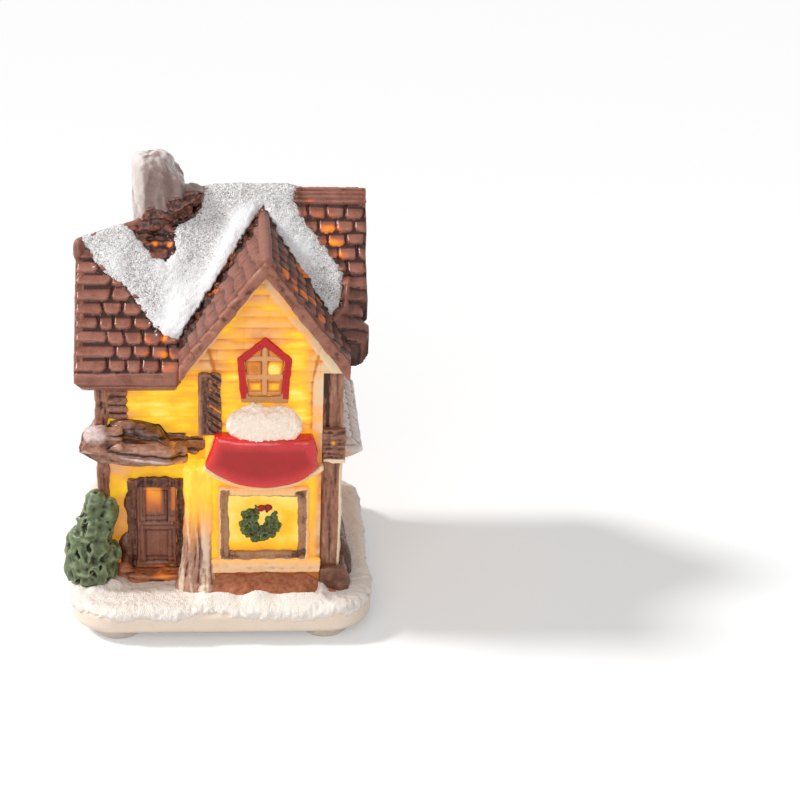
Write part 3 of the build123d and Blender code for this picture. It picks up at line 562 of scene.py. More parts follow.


# Each finish's wash tone also stands for painted shade, and its worn tone for painted highlight, where a piece's cavity
# value carries them.
roof_brown = glazed(
    "roof_brown", (134, 78, 62), (62, 30, 21), (180, 124, 106), 0.55, (0.2, 0.38), 0.3, warm=(214, 108, 30)
)
gable_brown = glazed(
    "gable_brown", (132, 78, 62), (58, 28, 19), (170, 116, 98), 0.5, (0.42, 0.58), 0.1, warm=(214, 108, 30)
)
rake_brown = glazed("rake_brown", (150, 93, 74), (84, 46, 35), (186, 130, 110), 0.5, (0.25, 0.42), 0.3)
# The chimney's second tone (224, 212, 207) is dust and painted highlight.
chimney_grey = glazed(
    "chimney_grey", (138, 114, 108), (96, 72, 65), (186, 168, 162), 0.7, (0.22, 0.4), 0.35, False, frost=(224, 212, 207)
)
timber_brown = glazed(
    "timber_brown", (146, 95, 73), (66, 34, 23), (196, 148, 123), 0.65, (0.3, 0.5), 0.25, frost=(246, 222, 186)
)
canopy_brown = glazed(
    "canopy_brown", (136, 86, 66), (56, 28, 19), (200, 158, 134), 0.65, (0.26, 0.46), 0.3, frost=(214, 192, 186)
)
pent_grey = glazed(
    "pent_grey", (204, 188, 182), (104, 86, 80), (242, 236, 232), 0.85, (0.3, 0.5), 0.2, False, frost=(226, 200, 178)
)
door_brown = glazed(
    "door_brown", (136, 86, 67), (52, 25, 17), (178, 124, 100), 0.55, (0.28, 0.45), 0.3, warm=(222, 132, 50)
)
rust_brown = glazed(
    "rust_brown", (158, 96, 64), (84, 44, 27), (194, 132, 96), 0.5, (0.3, 0.5), 0.2, warm=(220, 124, 44)
)
trunk_brown = glazed(
    "trunk_brown", (166, 118, 98), (98, 60, 46), (198, 158, 140), 0.5, (0.3, 0.5), 0.25, frost=(238, 210, 182)
)
frame_brown = glazed(
    "frame_brown", (162, 114, 82), (86, 50, 34), (196, 150, 114), 0.5, (0.35, 0.55), 0.15, frost=(248, 216, 160)
)
strip_brown = glazed("strip_brown", (162, 96, 64), (104, 56, 35), (200, 136, 98), 0.5, (0.5, 0.7), 0.05)
wall_cream = glazed(
    "wall_cream", (246, 218, 170), (190, 118, 48), (252, 236, 206), 0.4, (0.3, 0.5), 0.2, warm=(224, 156, 52)
)
trim_cream = glazed(
    "trim_cream", (243, 212, 168), (196, 138, 80), (252, 236, 208), 0.4, (0.3, 0.5), 0.2, warm=(226, 164, 70)
)
base_cream = glazed("base_cream", (238, 219, 199), (208, 184, 160), (246, 232, 216), 0.3, (0.25, 0.4), 0.25, False)
window_red = glazed(
    "window_red", (196, 24, 32), (124, 10, 16), (220, 52, 50), 0.5, (0.22, 0.38), 0.3, False, frost=(200, 142, 88)
)
shrub_green = glazed("shrub_green", (76, 92, 60), (30, 30, 17), (144, 154, 116), 0.7, (0.28, 0.46), 0.3, False)
bow_red = glazed("bow_red", (142, 12, 10), (90, 6, 5), (176, 40, 30), 0.4, (0.25, 0.4), 0.3, False)
wreath_green = glazed("wreath_green", (66, 76, 30), (22, 26, 6), (128, 138, 76), 0.6, (0.22, 0.4), 0.4, False)
roof_snow_white = snowy("roof_snow_white", (244, 244, 245), (158, 152, 148), (92, 84, 80), 0.5)
# The pillow's shine of 0.2 paints an even warm glow over it, for snow lying against the lit wall.
pillow_snow = snowy("pillow_snow", (250, 242, 236), (206, 176, 152), (170, 140, 118), 0.6, 0.2)
ground_snow = snowy("ground_snow", (253, 244, 235), (220, 199, 180), (160, 132, 112), 0.7)
print(len(bpy.data.materials), "materials")

# %% [markdown]
# The roof is the hardest piece. Its front slope is one plane, with a ridge that steps down to the left wing, and
# a cross gable cuts into it. A slope is laid out flat, as a grid of places along the eave and up the slope, and
# a height is worked out for each place. Loose tiles as separate objects would be too crisp: the real ones are
# pressed into one sheet of clay. The height of a tile is highest at its round lower end and fades up under the
# next row.

# %% Tile heights
TILE_WIDTH, TILE_ROW, TILE_LIFT, TILE_GAP = 3.75, 2.87, 0.95, 0.3


def tiles(u, v, seed, lift=TILE_LIFT, fused=0.0, start=None):
    """Height, a random number and the share up the row, for places u along the eave and v up the slope.

    Where fused is 1 the tiles of a row run into one another. The first tile of a row reaches to start."""
    best, number, under = np.full(u.shape, -0.12), np.full(u.shape, 0.5), np.ones(u.shape)
    rows = np.floor(v / TILE_ROW).astype(np.int64)
    for step in (-1, 0, 1):
        row = rows + step
        shift = (row % 2) * TILE_WIDTH / 2 + (shuffle(row, seed) - 0.5) * 1.3
        column = np.floor((u - shift) / TILE_WIDTH).astype(np.int64)
        first = column - 1
        if start is not None:
            first = np.ceil((start - shift) / TILE_WIDTH + 0.1).astype(np.int64)
            column = np.maximum(column, first)
        draw = [shuffle(row, column, seed + k) for k in range(1, 6)]
        half = (TILE_WIDTH - TILE_GAP) / 2 * (0.95 + 0.08 * draw[0])
        across = (u - shift - (column + 0.5) * TILE_WIDTH - (draw[1] - 0.5) * 0.2) / half
        across = np.where(column == first, np.maximum(across, -0.6), across) * (1 - 0.75 * fused)
        low = row * TILE_ROW + (draw[2] - 0.5) * 0.5 + 0.85 * np.abs(across) ** 4
        up = (v - row * TILE_ROW) / TILE_ROW
        inside = (np.abs(across) < 1) & (v > low) & (up < 1.5)
        edge = np.clip(np.minimum((1 - np.abs(across)) * half, v - low) / 0.45, 0, 1)
        rounding = np.sqrt(edge * (2 - edge))
        height = lift * (0.85 + 0.3 * draw[3]) * (1 - 0.72 * up) * rounding + 0.1 * (draw[4] - 0.5) * across
        better = inside & (height > best)
        for field, value in ((best, height), (number, draw[0]), (under, up)):
            field[better] = value[better]
    return best, number, under


def tile_shade(height, under):
    """Value for the finish: painted highlight at a tile's lower lip, painted shade in gaps and under the row above."""
    return np.clip(0.5 - 0.55 * ramp(under, 0.12, 0.7) - 1.1 * ramp(under, 0.68, 0.98) - 1.3 * ramp(height, 0.16, -0.06), -1, 1)


trial = tiles(np.linspace(0, 9, 5), np.full(5, 1.0), 3)
print("tile heights along a row", trial[0].round(2))

# %% [markdown]
# The places of the roof come from the frame: the eave lines, the ridge and its two steps, the gable's feet and
# apex. The front slope also runs a little over the ridge, so that snow can lie across it.

# %% Slopes of the roof
ROOF_X = 28.6
EAVE_FRONT, EAVE_BACK, EAVE_Z = -18.0, 28.0, 53.9
RIDGE_Y, RIDGE_Z, ROOF_DROP = 5.0, 83.9, 3.9
SLOPE = math.atan2(RIDGE_Z - EAVE_Z, RIDGE_Y - EAVE_FRONT)
SLOPE_LENGTH = math.hypot(RIDGE_Z - EAVE_Z, RIDGE_Y - EAVE_FRONT)
RIDGE_STEPS = ((-ROOF_X, -17.2, -8.0, ROOF_X), (0.70, 0.80, 1.0, 1.0))
GABLE_X, GABLE_HALF, GABLE_FOOT, GABLE_APEX = 8.2, 16.2, 59.2, 80.5
GABLE_FRONT, GABLE_DROP = -25.5, 3.4
GABLE_SLOPE = math.atan2(GABLE_APEX - GABLE_FOOT, GABLE_HALF)
GABLE_LENGTH = math.hypot(GABLE_APEX - GABLE_FOOT, GABLE_HALF)
FRONT_OUT = np.array([0, -math.sin(SLOPE), math.cos(SLOPE)])


def front_slope(u, v):
    """Place on the front slope, which goes on over the ridge past its length."""
    up = np.minimum(v, SLOPE_LENGTH)
    over = np.maximum(v - SLOPE_LENGTH, 0)
    y = EAVE_FRONT + (up + over) * math.cos(SLOPE)
    z = EAVE_Z + (up - over) * math.sin(SLOPE)
    return np.stack([u, y, z], axis=-1)


def ridge_share(u):
    return np.interp(u, *RIDGE_STEPS)


def gable_height(u):
    """Height of the gable roof's top over a place on X."""
    return GABLE_APEX - np.abs(u - GABLE_X) * math.tan(GABLE_SLOPE)


def near(u, v, spots):
    """Sum of soft spots (u, v, radius, strength)."""
    return sum(s * np.exp(-(((u - a) ** 2 + (v - b) ** 2) / r**2)) for a, b, r, s in spots)


SNOW_OUTLINE = (
    (-28.0, 0.70), (-27.4, 0.745), (-22.3, 0.80), (-18.6, 0.825), (-17.6, 0.775), (-15.4, 0.69), (-12.7, 0.615),
    (-10.9, 0.60), (-9.0, 0.66), (-9.6, 0.74), (-8.7, 0.80), (-5.6, 0.84), (-3.9, 0.90), (-3.6, 1.05), (4.3, 1.07),
    (13.0, 1.05), (15.6, 1.0), (14.6, 0.94), (16.5, 0.83), (20.4, 0.69), (23.9, 0.55), (24.1, 0.50), (23.4, 0.35),
    (20.9, 0.28), (17.5, 0.30), (12.0, 0.58), (8.0, 0.88), (4.0, 0.58), (-4.5, 0.20), (-8.0, 0.16), (-9.8, 0.17),
    (-11.8, 0.205), (-14.2, 0.28), (-15.8, 0.34), (-18.7, 0.44), (-20.3, 0.48), (-24.0, 0.56), (-25.9, 0.64),
)


def snow_rim():
    """Outline of the snow as places along the eave and up the slope."""
    return tuple((a, b * SLOPE_LENGTH) for a, b in SNOW_OUTLINE)


def inside_by(u, v, outline):
    """Distance inside a closed outline, negative outside."""
    gap, hit = np.full(u.shape, 1e9), np.zeros(u.shape, bool)
    for (ax, ay), (bx, by) in zip(outline, outline[1:] + outline[:1]):
        share = np.clip(((u - ax) * (bx - ax) + (v - ay) * (by - ay)) / ((bx - ax) ** 2 + (by - ay) ** 2), 0, 1)
        gap = np.minimum(gap, np.hypot(u - ax - share * (bx - ax), v - ay - share * (by - ay)))
        crosses = (ay > v) != (by > v)
        hit ^= crosses & (u < ax + (bx - ax) * (v - ay) / (by - ay if by != ay else 1e-9))
    return np.where(hit, gap, -gap)


def cells(*fields):
    """Mask of grid cells whose four corners all hold."""
    keep = np.logical_and.reduce(fields)
    return keep[:-1, :-1] & keep[1:, :-1] & keep[1:, 1:] & keep[:-1, 1:]


print("slope", round(math.degrees(SLOPE), 1), "degrees, gable", round(math.degrees(GABLE_SLOPE), 1))

# %% [markdown]
# The main roof's front slope carries tiles, a smooth board along the eave, and a swollen lobe low on the right,
# where the clay was pushed outwards. Light of the lamp shows through thin tiles near the snow and the valleys.
# The back slope is laid the same way.

# %% Main roof
STEP = 0.2
FASCIA = 3.9
GLINTS = (
    (-10.4, 1.6, 1.8, 1.3), (-11.2, 4.1, 1.8, 1.3), (-14.9, 4.3, 1.6, 0.9), (-14.7, 6.9, 1.4, 0.9), (-16.1, 9.5, 1.8, 1.1),
    (17.6, 34.0, 1.8, 1.0), (20.0, 31.8, 2.2, 1.3), (21.6, 29.0, 2.3, 1.3), (23.4, 25.0, 2.0, 1.2), (21.6, 26.4, 1.8, 1.1),
    (23.2, 22.0, 1.6, 0.9),
)
SPARKS = ((-13.1, 26.3, 0.62, 0.8), (-10.3, 26.1, 0.62, 0.8), (-11.2, 6.9, 0.8, 0.8), (-8.7, 26.0, 0.4, 0.6))


def eave_start(u):
    """How far up the front slope the roof begins, left of the gable, under it and right of it."""
    corner = 2.4 * np.clip((u - 26.2) / 2.4, 0, 1) ** 2
    return np.where(u < -8.0, -FASCIA, np.where(u < 23.7, 6.57, 5.26 + corner))


EAVE_DEEP = 3.9


def front_sheet():
    """Front slope as a closed sheet with its point values."""
    u, v = np.meshgrid(
        np.arange(-ROOF_X, ROOF_X + STEP / 2, STEP), np.arange(-FASCIA, SLOPE_LENGTH + STEP / 2, STEP), indexing="ij"
    )
    flat = np.stack([u.ravel(), v.ravel()], axis=1)

    def field(values):
        return values.reshape(u.shape)

    lobe = near(u, v, ((25.0, 6.8, 4.4, 1.0),))
    fused = np.clip(near(u, v, ((26.0, 14.5, 4.6, 1.0), (25.2, 7.0, 4.8, 1.1))), 0, 1)
    bend = 0.3 * field(noise(flat, 9, 6)) + 1.3 * lobe * ((u - 25) / 4) ** 2
    wander = 0.7 * field(noise(flat, 5, 5)) * ramp(u, -ROOF_X, -ROOF_X + 4)
    height, number, under = tiles(u + wander, v - 0.1 + bend, 11, fused=fused, start=-ROOF_X)
    board = ramp(v, 0.25, -0.2)
    strokes = 0.16 * field(noise(flat * np.array([0.12, 1.0]), 0.55, 7))
    grooved = np.exp(-(((v + 2.5) / 0.2) ** 2)) + 0.7 * np.exp(-(((v + 3.2) / 0.2) ** 2))
    rolled = 1.3 * ramp(v, -2.6, -3.9) ** 2 + 0.25 * grooved + 1.0 * ramp(u, -9.2, -8.0) ** 2
    height = height * (1 - board) + (0.55 + strokes - rolled) * board
    band = ramp(v, SLOPE_LENGTH - 3.5, SLOPE_LENGTH - 3.1) * ramp(u, 11.0, 12.5)
    grooves = 0.8 + 0.16 * np.cos(v * 2 * math.pi / 0.95) + field(0.14 * noise(flat * np.array([0.15, 1.0]), 0.8, 9))
    height = height * (1 - band) + grooves * band
    messy = np.clip(near(u, v, ((-12.0, 26.5, 4.6, 1.2), (-8.0, 32.5, 4.6, 1.2))), 0, 1)
    jagged = field(rough(flat * np.array([0.6, 1.0]), 1.3, 21))
    height = height * (1 - 0.6 * messy) + 0.9 * messy * jagged
    rim = inside_by(u, v, snow_rim())
    curl = np.exp(-(((rim + 0.7) / 0.75) ** 2)) * ramp(u, 18.5, 20.5) * ramp(v, 20.5, 18.0)
    crust = np.exp(-((rim / 0.8) ** 2)) * (1 - board) * (1 - curl)
    height = height + crust * (0.25 + 0.7 * field(rough(flat, 0.9, 23))) + 0.06 * field(rough(flat, 0.9, 8))
    height = height * (1 - curl) + curl * (1.8 + 0.3 * field(noise(flat, 2.0, 24)))
    notch = ramp(v, 9.5, 11.0) * ramp(v, 15.0, 13.8) * ramp(u, 26.0, 28.6)
    height = height + 1.4 * lobe - 0.5 * notch
    at = front_slope(u, np.maximum(v, 0)) + np.minimum(v, 0)[..., None] * np.array([0, 0, 1.0])
    at[..., 0] += (0.35 * lobe - 1.0 * ramp(v, 9.5, 11.0) * ramp(v, 15.0, 13.8)) * ramp(u, 25.0, 28.6)
    at[..., 0] += 0.22 * field(noise(flat[:, ::-1], 5, 31)) * ramp(u, 25, 28.6)
    lifted = 1.8 * ramp(v, -2.0, -3.9) * (ramp(u, -26.4, -28.6) ** 2 + ramp(u, -9.6, -8.0) ** 2)
    at[..., 2] += lifted
    tilt = ramp(v, -0.9, 0.5)[..., None]
    out = tilt * FRONT_OUT + (1 - tilt) * np.array([0, -1.0, 0])
    out = out / np.linalg.norm(out, axis=-1, keepdims=True)
    end = ramp(np.abs(u), ROOF_X - 0.9, ROOF_X)
    top = at + out * (height - 0.55 * end**2)[..., None]
    deep = EAVE_DEEP * (u < GABLE_X)
    low = front_slope(at[..., 0], deep + np.maximum(v, 0) * (1 - deep / SLOPE_LENGTH))
    low[..., 2] -= ROOF_DROP
    share = np.clip(1 + v / FASCIA, 0, 1)
    low[..., 2] = share * low[..., 2] + (1 - share) * (EAVE_Z - FASCIA + lifted)
    hidden = (np.abs(u - GABLE_X) < GABLE_HALF) & (gable_height(u) - front_slope(u, v)[..., 2] > 1.6) & (v > 0)
    keep = cells(v <= ridge_share(u) * SLOPE_LENGTH + 0.3, v >= eave_start(u) - 1e-6, ~hidden)
    points, faces, spots = slab(top, low, keep, True)
    lip = ramp(under, 0.75, 0.3) * ramp(height, 0.0, 0.3)
    mottle = 0.75 + 0.35 * field(rough(flat, 1.2, 26))
    lit = np.clip(near(u, v, GLINTS) * mottle * (0.25 + 0.45 * number) * (0.2 + 0.8 * lip), 0, 0.62)
    lit = np.maximum(lit, np.clip(near(u, v, SPARKS), 0, 0.66))
    plain = (1 - board) * (1 - band) * (1 - curl)
    # Value for the glaze: the tiles' painted highlight and shade, painted shade in the fascia's grooves and between the
    # ridge band's ribs with painted highlight on the ribs; the fused tiles, the notch and the crust are darker brown,
    # the curl paler.
    dark = tile_shade(height - 1.4 * lobe, under) * plain * (1 - 0.6 * fused) - 0.3 * fused - 0.45 * messy - 0.3 * crust
    dark = dark + board * (0.5 + 1.8 * strokes - 0.9 * grooved) + band * (1.6 * grooves - 1.25) + 0.3 * curl
    dark = dark + 0.4 * messy * jagged + 0.35 * (number - 0.5) * plain
    return points, faces, lit.ravel()[spots], np.clip(dark, -1, 1).ravel()[spots]


def back_sheet():
    """Back slope as a closed sheet."""
    step = 0.28
    u, w = np.meshgrid(
        np.arange(-ROOF_X, ROOF_X + step / 2, step), np.linspace(0, 1, int(SLOPE_LENGTH / step)), indexing="ij"
    )
    ridge = front_slope(u, ridge_share(u) * SLOPE_LENGTH)
    eave = np.stack([u, np.full_like(u, EAVE_BACK), np.full_like(u, EAVE_Z)], axis=-1)
    at = eave + (ridge - eave) * w[..., None]
    rise = ridge - eave
    length = np.linalg.norm(rise, axis=-1)
    out = np.stack([np.zeros_like(u), rise[..., 2], -rise[..., 1]], axis=-1) / length[..., None]
    v = w * length
    flat = np.stack([u.ravel(), v.ravel()], axis=1)
    height, number, under = tiles(u + 0.25 * noise(flat, 7, 45).reshape(u.shape), v, 51)
    soft = ramp(v, -0.2, 0.3)
    height = height * soft + 0.4 * (1 - soft) + 0.07 * rough(flat, 0.9, 48).reshape(u.shape)
    top = at + out * height[..., None]
    low = at - np.array([0, 0, ROOF_DROP])
    points, faces, spots = slab(top[:, ::-1], low[:, ::-1], np.ones((u.shape[0] - 1, u.shape[1] - 1), bool), True)
    # Value for the glaze: the tiles' painted highlight and painted shade, with a random tone per tile.
    dark = np.clip(tile_shade(height, under) * soft + 0.35 * (number - 0.5), -1, 1)
    return points, faces, np.zeros(len(points)), dark[:, ::-1].ravel()[spots]


def rod(path, radii, around=(1, 2), sides=16):
    """Closed tube along a path, with a radius at each point, round in two of the axes."""
    turns = np.linspace(0, 2 * math.pi, sides, endpoint=False)
    points = np.repeat(np.asarray(path, float), sides, axis=0)
    points[:, around[0]] += np.repeat(radii, sides) * np.tile(np.cos(turns), len(path))
    points[:, around[1]] += np.repeat(radii, sides) * np.tile(np.sin(turns), len(path))
    faces = []
    for k in range(len(path) - 1):
        for t in range(sides):
            a, b = k * sides + t, k * sides + (t + 1) % sides
            faces.append((a, a + sides, b + sides, b))
    faces.append(tuple(range(sides)))
    faces.append(tuple(reversed(range((len(path) - 1) * sides, len(path) * sides))))
    return points, faces


front, back = front_sheet(), back_sheet()
wing = np.linspace(-ROOF_X + 0.3, -8.0, 60)
wing_ridge = front_slope(wing, ridge_share(wing) * SLOPE_LENGTH)
roll = rod(wing_ridge, 0.75 + 0.25 * noise(wing_ridge[:, :1], 3, 4))
roof_points, roof_faces = merged([front[:2], back[:2], roll])
piece(
    "main_roof_tiles", roof_points, roof_faces, roof_brown, ["main_roof"], "roof_brown",
    glow=np.concatenate([front[2], back[2], np.zeros(len(roll[0]))]),
    cavity=np.concatenate([front[3], back[3], np.full(len(roll[0]), 0.1)]),
)

# %% [markdown]
# The cross gable's two slopes run from the rake boards back to the valleys. Their tiles are smaller and worn
# flat beside the rakes, and the lamp glints through them near the valley.

# %% Gable roof


def gable_sheet(side):
    """One slope of the gable, left for -1 and right for 1."""
    u, v = np.meshgrid(np.arange(0, 30.0, STEP), np.arange(-0.2, GABLE_LENGTH + 0.5, STEP), indexing="ij")
    x = GABLE_X + side * (GABLE_HALF - v * math.cos(GABLE_SLOPE))
    at = np.stack([x, GABLE_FRONT + u, GABLE_FOOT + v * math.sin(GABLE_SLOPE)], axis=-1)
    out = np.array([side * math.sin(GABLE_SLOPE), 0, math.cos(GABLE_SLOPE)])
    flat = np.stack([u.ravel(), v.ravel()], axis=1)
    ragged = rough(flat, 1.2, 75 + side).reshape(u.shape)
    height, number, under = tiles(u * 0.9 + 0.3 * noise(flat, 5, 60 + side).reshape(u.shape), v, 70 + side, 0.8)
    main = EAVE_Z + (at[..., 1] - EAVE_FRONT) * math.tan(SLOPE)
    valley = ramp(at[..., 2] - main + 1.6 * ragged, 8.4 if side < 0 else 7.0, 7.4 if side < 0 else 5.6)
    worn = 0.95 if side < 0 else ramp(u, 1.8, 1.0)
    saw = ((v + 0.6 * noise(flat, 4.0, 79).reshape(u.shape) + 0.15 * u) / 3.0) % 1
    ripple = 0.6 * (1 - saw) * ramp(saw, 0.0, 0.25) + 0.1
    height = height * (1 - worn) + (ripple + 0.12 * ragged) * worn + 0.1 * ragged
    height = height * (1 - valley) + valley * (0.3 + 0.9 * ragged)
    top = at + out * height[..., None]
    keep = cells(at[..., 2] > main - 1.0, v < GABLE_LENGTH + 0.3)
    low = at - np.array([0, 0, GABLE_DROP])
    glint = ramp(shuffle(np.floor(v / TILE_ROW).astype(int), np.floor(u / 2.9).astype(int), 81 + side), 0.60, 0.75)
    bits = ramp(rough(flat, 1.6, 84 + side).reshape(u.shape), 0.3, 0.5) * valley * 0.45
    lit = glint * (1 - worn) * ramp(v, 4, 8) * ramp(height, -0.1, 0.3) * ramp(under, 0.9, 0.6) * 0.54
    lit = lit * np.clip(0.75 + 0.5 * rough(flat, 1.3, 86).reshape(u.shape), 0, 1) * ramp(u, 17, 9)
    lit = np.maximum(lit, bits * ramp(v, 3, 7))
    # Value for the glaze: the tiles' painted highlight and shade, and on the worn ripples painted highlight on their
    # crests and painted shade between; the valley strip and the right slope's tiles are darker brown.
    dark = tile_shade(height, under) * (1 - worn) + worn * (1.1 * ripple - 0.4)
    dark = dark * (1 - valley) - valley * (0.85 - 0.6 * ragged) - 0.45 * (1 - worn)
    fields = [top, low, keep, lit, np.clip(dark, -1, 1)]
    if side < 0:
        fields = [values[::-1] for values in fields]
    points, faces, spots = slab(*fields[:3])
    return points, faces, fields[3].ravel()[spots], fields[4].ravel()[spots]


gable_left, gable_right = gable_sheet(-1), gable_sheet(1)
crest = np.linspace(GABLE_FRONT - 1.0, 2.4, 70)
crest_path = np.stack([np.full(70, GABLE_X), crest, np.full(70, GABLE_APEX - 0.55)], axis=1)
crest_radii = np.interp(crest, [-26.5, -26.1, -14.0, 2.4], [0.95, 1.2, 1.25, 1.0]) + 0.06 * noise(crest[:, None], 2.2, 77)
crest_roll = rod(crest_path, crest_radii, (2, 0))
gable_points, gable_faces = merged([gable_left[:2], gable_right[:2], crest_roll])
crest_shade = np.repeat(0.3 - 0.6 * ramp(crest, -5.0, 2.0), 16)
piece(
    "gable_roof_tiles", gable_points, gable_faces, gable_brown, ["gable_roof"], "roof_brown",
    glow=np.concatenate([gable_left[2], gable_right[2], np.zeros(len(crest_roll[0]))]),
    cavity=np.concatenate([gable_left[3], gable_right[3], crest_shade]),
)

# %% [markdown]
# Snow lies on the front slope in one sheet with an outline given as places along the eave against shares of the
# slope. Its height grows from a ragged rim, it banks up along the gable's valleys, and small grains roughen it. The
# banked part and some folds are painted whiter as painted highlight where light falls on them, other folds greyer
# as painted shade, and the snow is greyer near the ridge. The thin part lets grey crystals show.

# %% Roof snow


def snow_bed(u, v):
    """Place under the snow and its outward direction: up the front slope and over the ridge of each part."""
    crest = ridge_share(u) * SLOPE_LENGTH
    over = ramp(v - crest, -1.0, 1.0)[..., None]
    past = np.maximum(v - crest, 0)
    at = front_slope(u, np.minimum(v, crest))
    at = at + past[..., None] * np.array([0, math.cos(SLOPE), -math.sin(SLOPE)])
    out = FRONT_OUT * (1 - over) + np.array([0, math.sin(SLOPE), math.cos(SLOPE)]) * over
    return at, out / np.linalg.norm(out, axis=-1, keepdims=True)


# Folds as (along the eave, up the slope, size, strength): a positive strength raises the snow and paints it whiter, a
# negative one sinks it and paints it greyer, as painted highlight and painted shade.
FOLDS = (
    (-14.8, 10.5, 3.6, -0.9), (-19.5, 13.0, 2.6, 0.7), (-8.8, 8.5, 3.0, 0.8), (-2.0, 18.5, 4.6, -0.8), (-25.0, 16.5, 3.0, -0.3),
    (21.0, 10.5, 2.6, -0.6), (15.0, 18.0, 3.0, -0.5),
)


def snow_sheet():
    """Snow on the front slope with its point values."""
    u, v = np.meshgrid(np.arange(-28.6, 25.4, STEP), np.arange(4.0, SLOPE_LENGTH + 3, STEP), indexing="ij")
    flat = np.stack([u.ravel(), v.ravel()], axis=1)

    def field(values):
        return values.reshape(u.shape)

    deep = inside_by(u, v, snow_rim()) + 0.4 * field(rough(flat, 1.5, 90))
    beside = (v - (gable_height(u) - EAVE_Z) / math.sin(SLOPE)) * math.cos(GABLE_SLOPE)
    bank = np.exp(-(((beside - 2.2) / 2.6) ** 2)) * (0.55 + 0.45 * ramp(u, GABLE_X + 2, GABLE_X - 2))
    bank = bank * ramp(v, SLOPE_LENGTH - 0.5, SLOPE_LENGTH - 6.0)
    lean = np.stack([u.ravel() - 0.42 * v.ravel(), 0.16 * v.ravel()], axis=1)
    fold = 0.55 * field(noise(lean, 3.0, 97)) + near(u + 0.2 * (v - 18), 0.6 * v, FOLDS)
    thick = 1.0 * np.sqrt(ramp(deep, -0.3, 2.2)) + 0.7 * bank * ramp(deep, -0.2, 1.6)
    thick = thick + 0.6 * fold * ramp(deep, 0.2, 2.0) + 0.14 * field(rough(flat, 0.8, 95, 2))
    at, out = snow_bed(u, v)
    top = at + out * (0.35 + np.maximum(thick, 0))[..., None]
    edge = np.where(u < GABLE_X, 0.6, -2.6) + 0.7 * field(rough(flat, 1.1, 98))
    keep = cells(deep > 0, at[..., 2] > gable_height(u) + edge)
    points, faces, spots = slab(top, at - 0.3 * out, keep, True)
    # The packed value: whiter along the valley bank and on folds of positive strength as painted highlight, greyer on
    # the others as painted shade, and greyer near the ridge.
    broad = np.exp(-(((beside - 1.5) / 5.0) ** 2)) * ramp(v, SLOPE_LENGTH + 2, SLOPE_LENGTH - 8)
    packed = np.clip((0.5 + 0.4 * ramp(u, GABLE_X + 2, GABLE_X - 2)) * broad + 0.8 * fold + 0.2 - 0.3 * ramp(v, SLOPE_LENGTH - 8, SLOPE_LENGTH - 3), 0, 1)
    return points, faces, packed.ravel()[spots]


snow_points, snow_faces, snow_packed = snow_sheet()
piece("roof_snow_sheet", snow_points, snow_faces, roof_snow_white, ["roof_snow"], "snow", packed=snow_packed)

# %% [markdown]
# Boards, posts, chimney and trims are cast from their frame nodes. One helper makes them: it takes the nodes, a
# finish, and if wanted a relief and a glow worked out from each point's place and direction.

# %% Cast pieces of the roof


def dressed(name, nodes, finish, slot, relief=None, glow=None, shade=None, frost=None, depth=0.12, **how):
    """Cast piece with its finish."""
    points, faces = cast(nodes, **how)
    if relief is not None:
        points = points + relief(points, outward(points, faces))
    hollow = cavity(points, faces, depth=depth)
    if shade is not None:
        hollow = np.clip(hollow + shade(points), -1, 1)
    lit = 0.0 if glow is None else np.clip(glow(points), 0, 1)
    pale = 0.0 if frost is None else np.clip(frost(points), 0, 1)
    return piece(name, points, faces, finish, nodes, slot, cavity=hollow, glow=lit, frost=pale, packed=0.6)


def along(direction, size, seed, strength):
    """Relief of wood grain: noise drawn out along one axis."""
    stretch = np.array([0.14 if axis == direction else 1.0 for axis in "xyz"])
    return lambda points, out: out * (strength * rough(points * stretch, size, seed))[:, None]


def cap_relief(points, out):
    groove = np.cos(points[:, 1] * 2 * math.pi / 1.15)
    return out * (0.12 * groove + 0.14 * rough(points * np.array([0.2, 1, 1]), 0.9, 14))[:, None]


def chimney_relief(points, out):
    """Folds that run down from the top, with sharp crests, over soft lumps."""
    spread_out = 1.0 + 0.05 * np.maximum(90.5 - points[:, 2], 0)
    turn = np.stack([(points[:, 0] + 12.0) / spread_out, (points[:, 1] - 4.0) / spread_out, 0.12 * points[:, 2]], axis=1)
    folds = 1 - 2 * np.abs(noise(turn, 1.7, 18))
    return out * (0.5 * folds + 0.4 * rough(points, 4.5, 19))[:, None]


def chimney_frost(points):
    """Paler dusty glaze in streaks, with painted highlight on the top and the left edge, where the light falls."""
    x, y, z = points.T
    streak = rough(points * np.array([1.0, 1.0, 0.25]), 1.4, 17)
    return np.clip(0.4 * ramp(z, 84.0, 89.5) + 0.55 * ramp(x, -14.5, -16.2) + 0.55 * streak, 0, 1)


def rake_relief(points, out):
    steps = 0.5 - (points[:, 2] / 2.3) % 1
    left = ramp(points[:, 0], 6.0, 2.0)
    return out * (0.3 * steps * left * ramp(out[:, 2], 0.1, 0.5) + 0.36 * rough(points, 1.9, 12))[:, None]


dressed(
    "gable_rake_boards", ["gable_rakes"], rake_brown, "roof_brown", rake_relief, wobble=0.2, rounds=6, voxel=0.22,
    shade=lambda p: 0.8 * rough(p, 1.6, 13) - 0.1,
)
dressed("ridge_cap_roll", ["ridge_cap"], rake_brown, "roof_brown", cap_relief, voxel=0.22, rounds=3)
dressed(
    "verge_strip", ["verge_board"], rake_brown, "roof_brown", along("z", 1.5, 16, 0.3), voxel=0.22, rounds=5, wobble=0.2,
    balls=[((-27.9, -3.0, 73.6), (1.3, 1.7, 2.6))], shade=lambda p: np.full(len(p), -0.4),
)
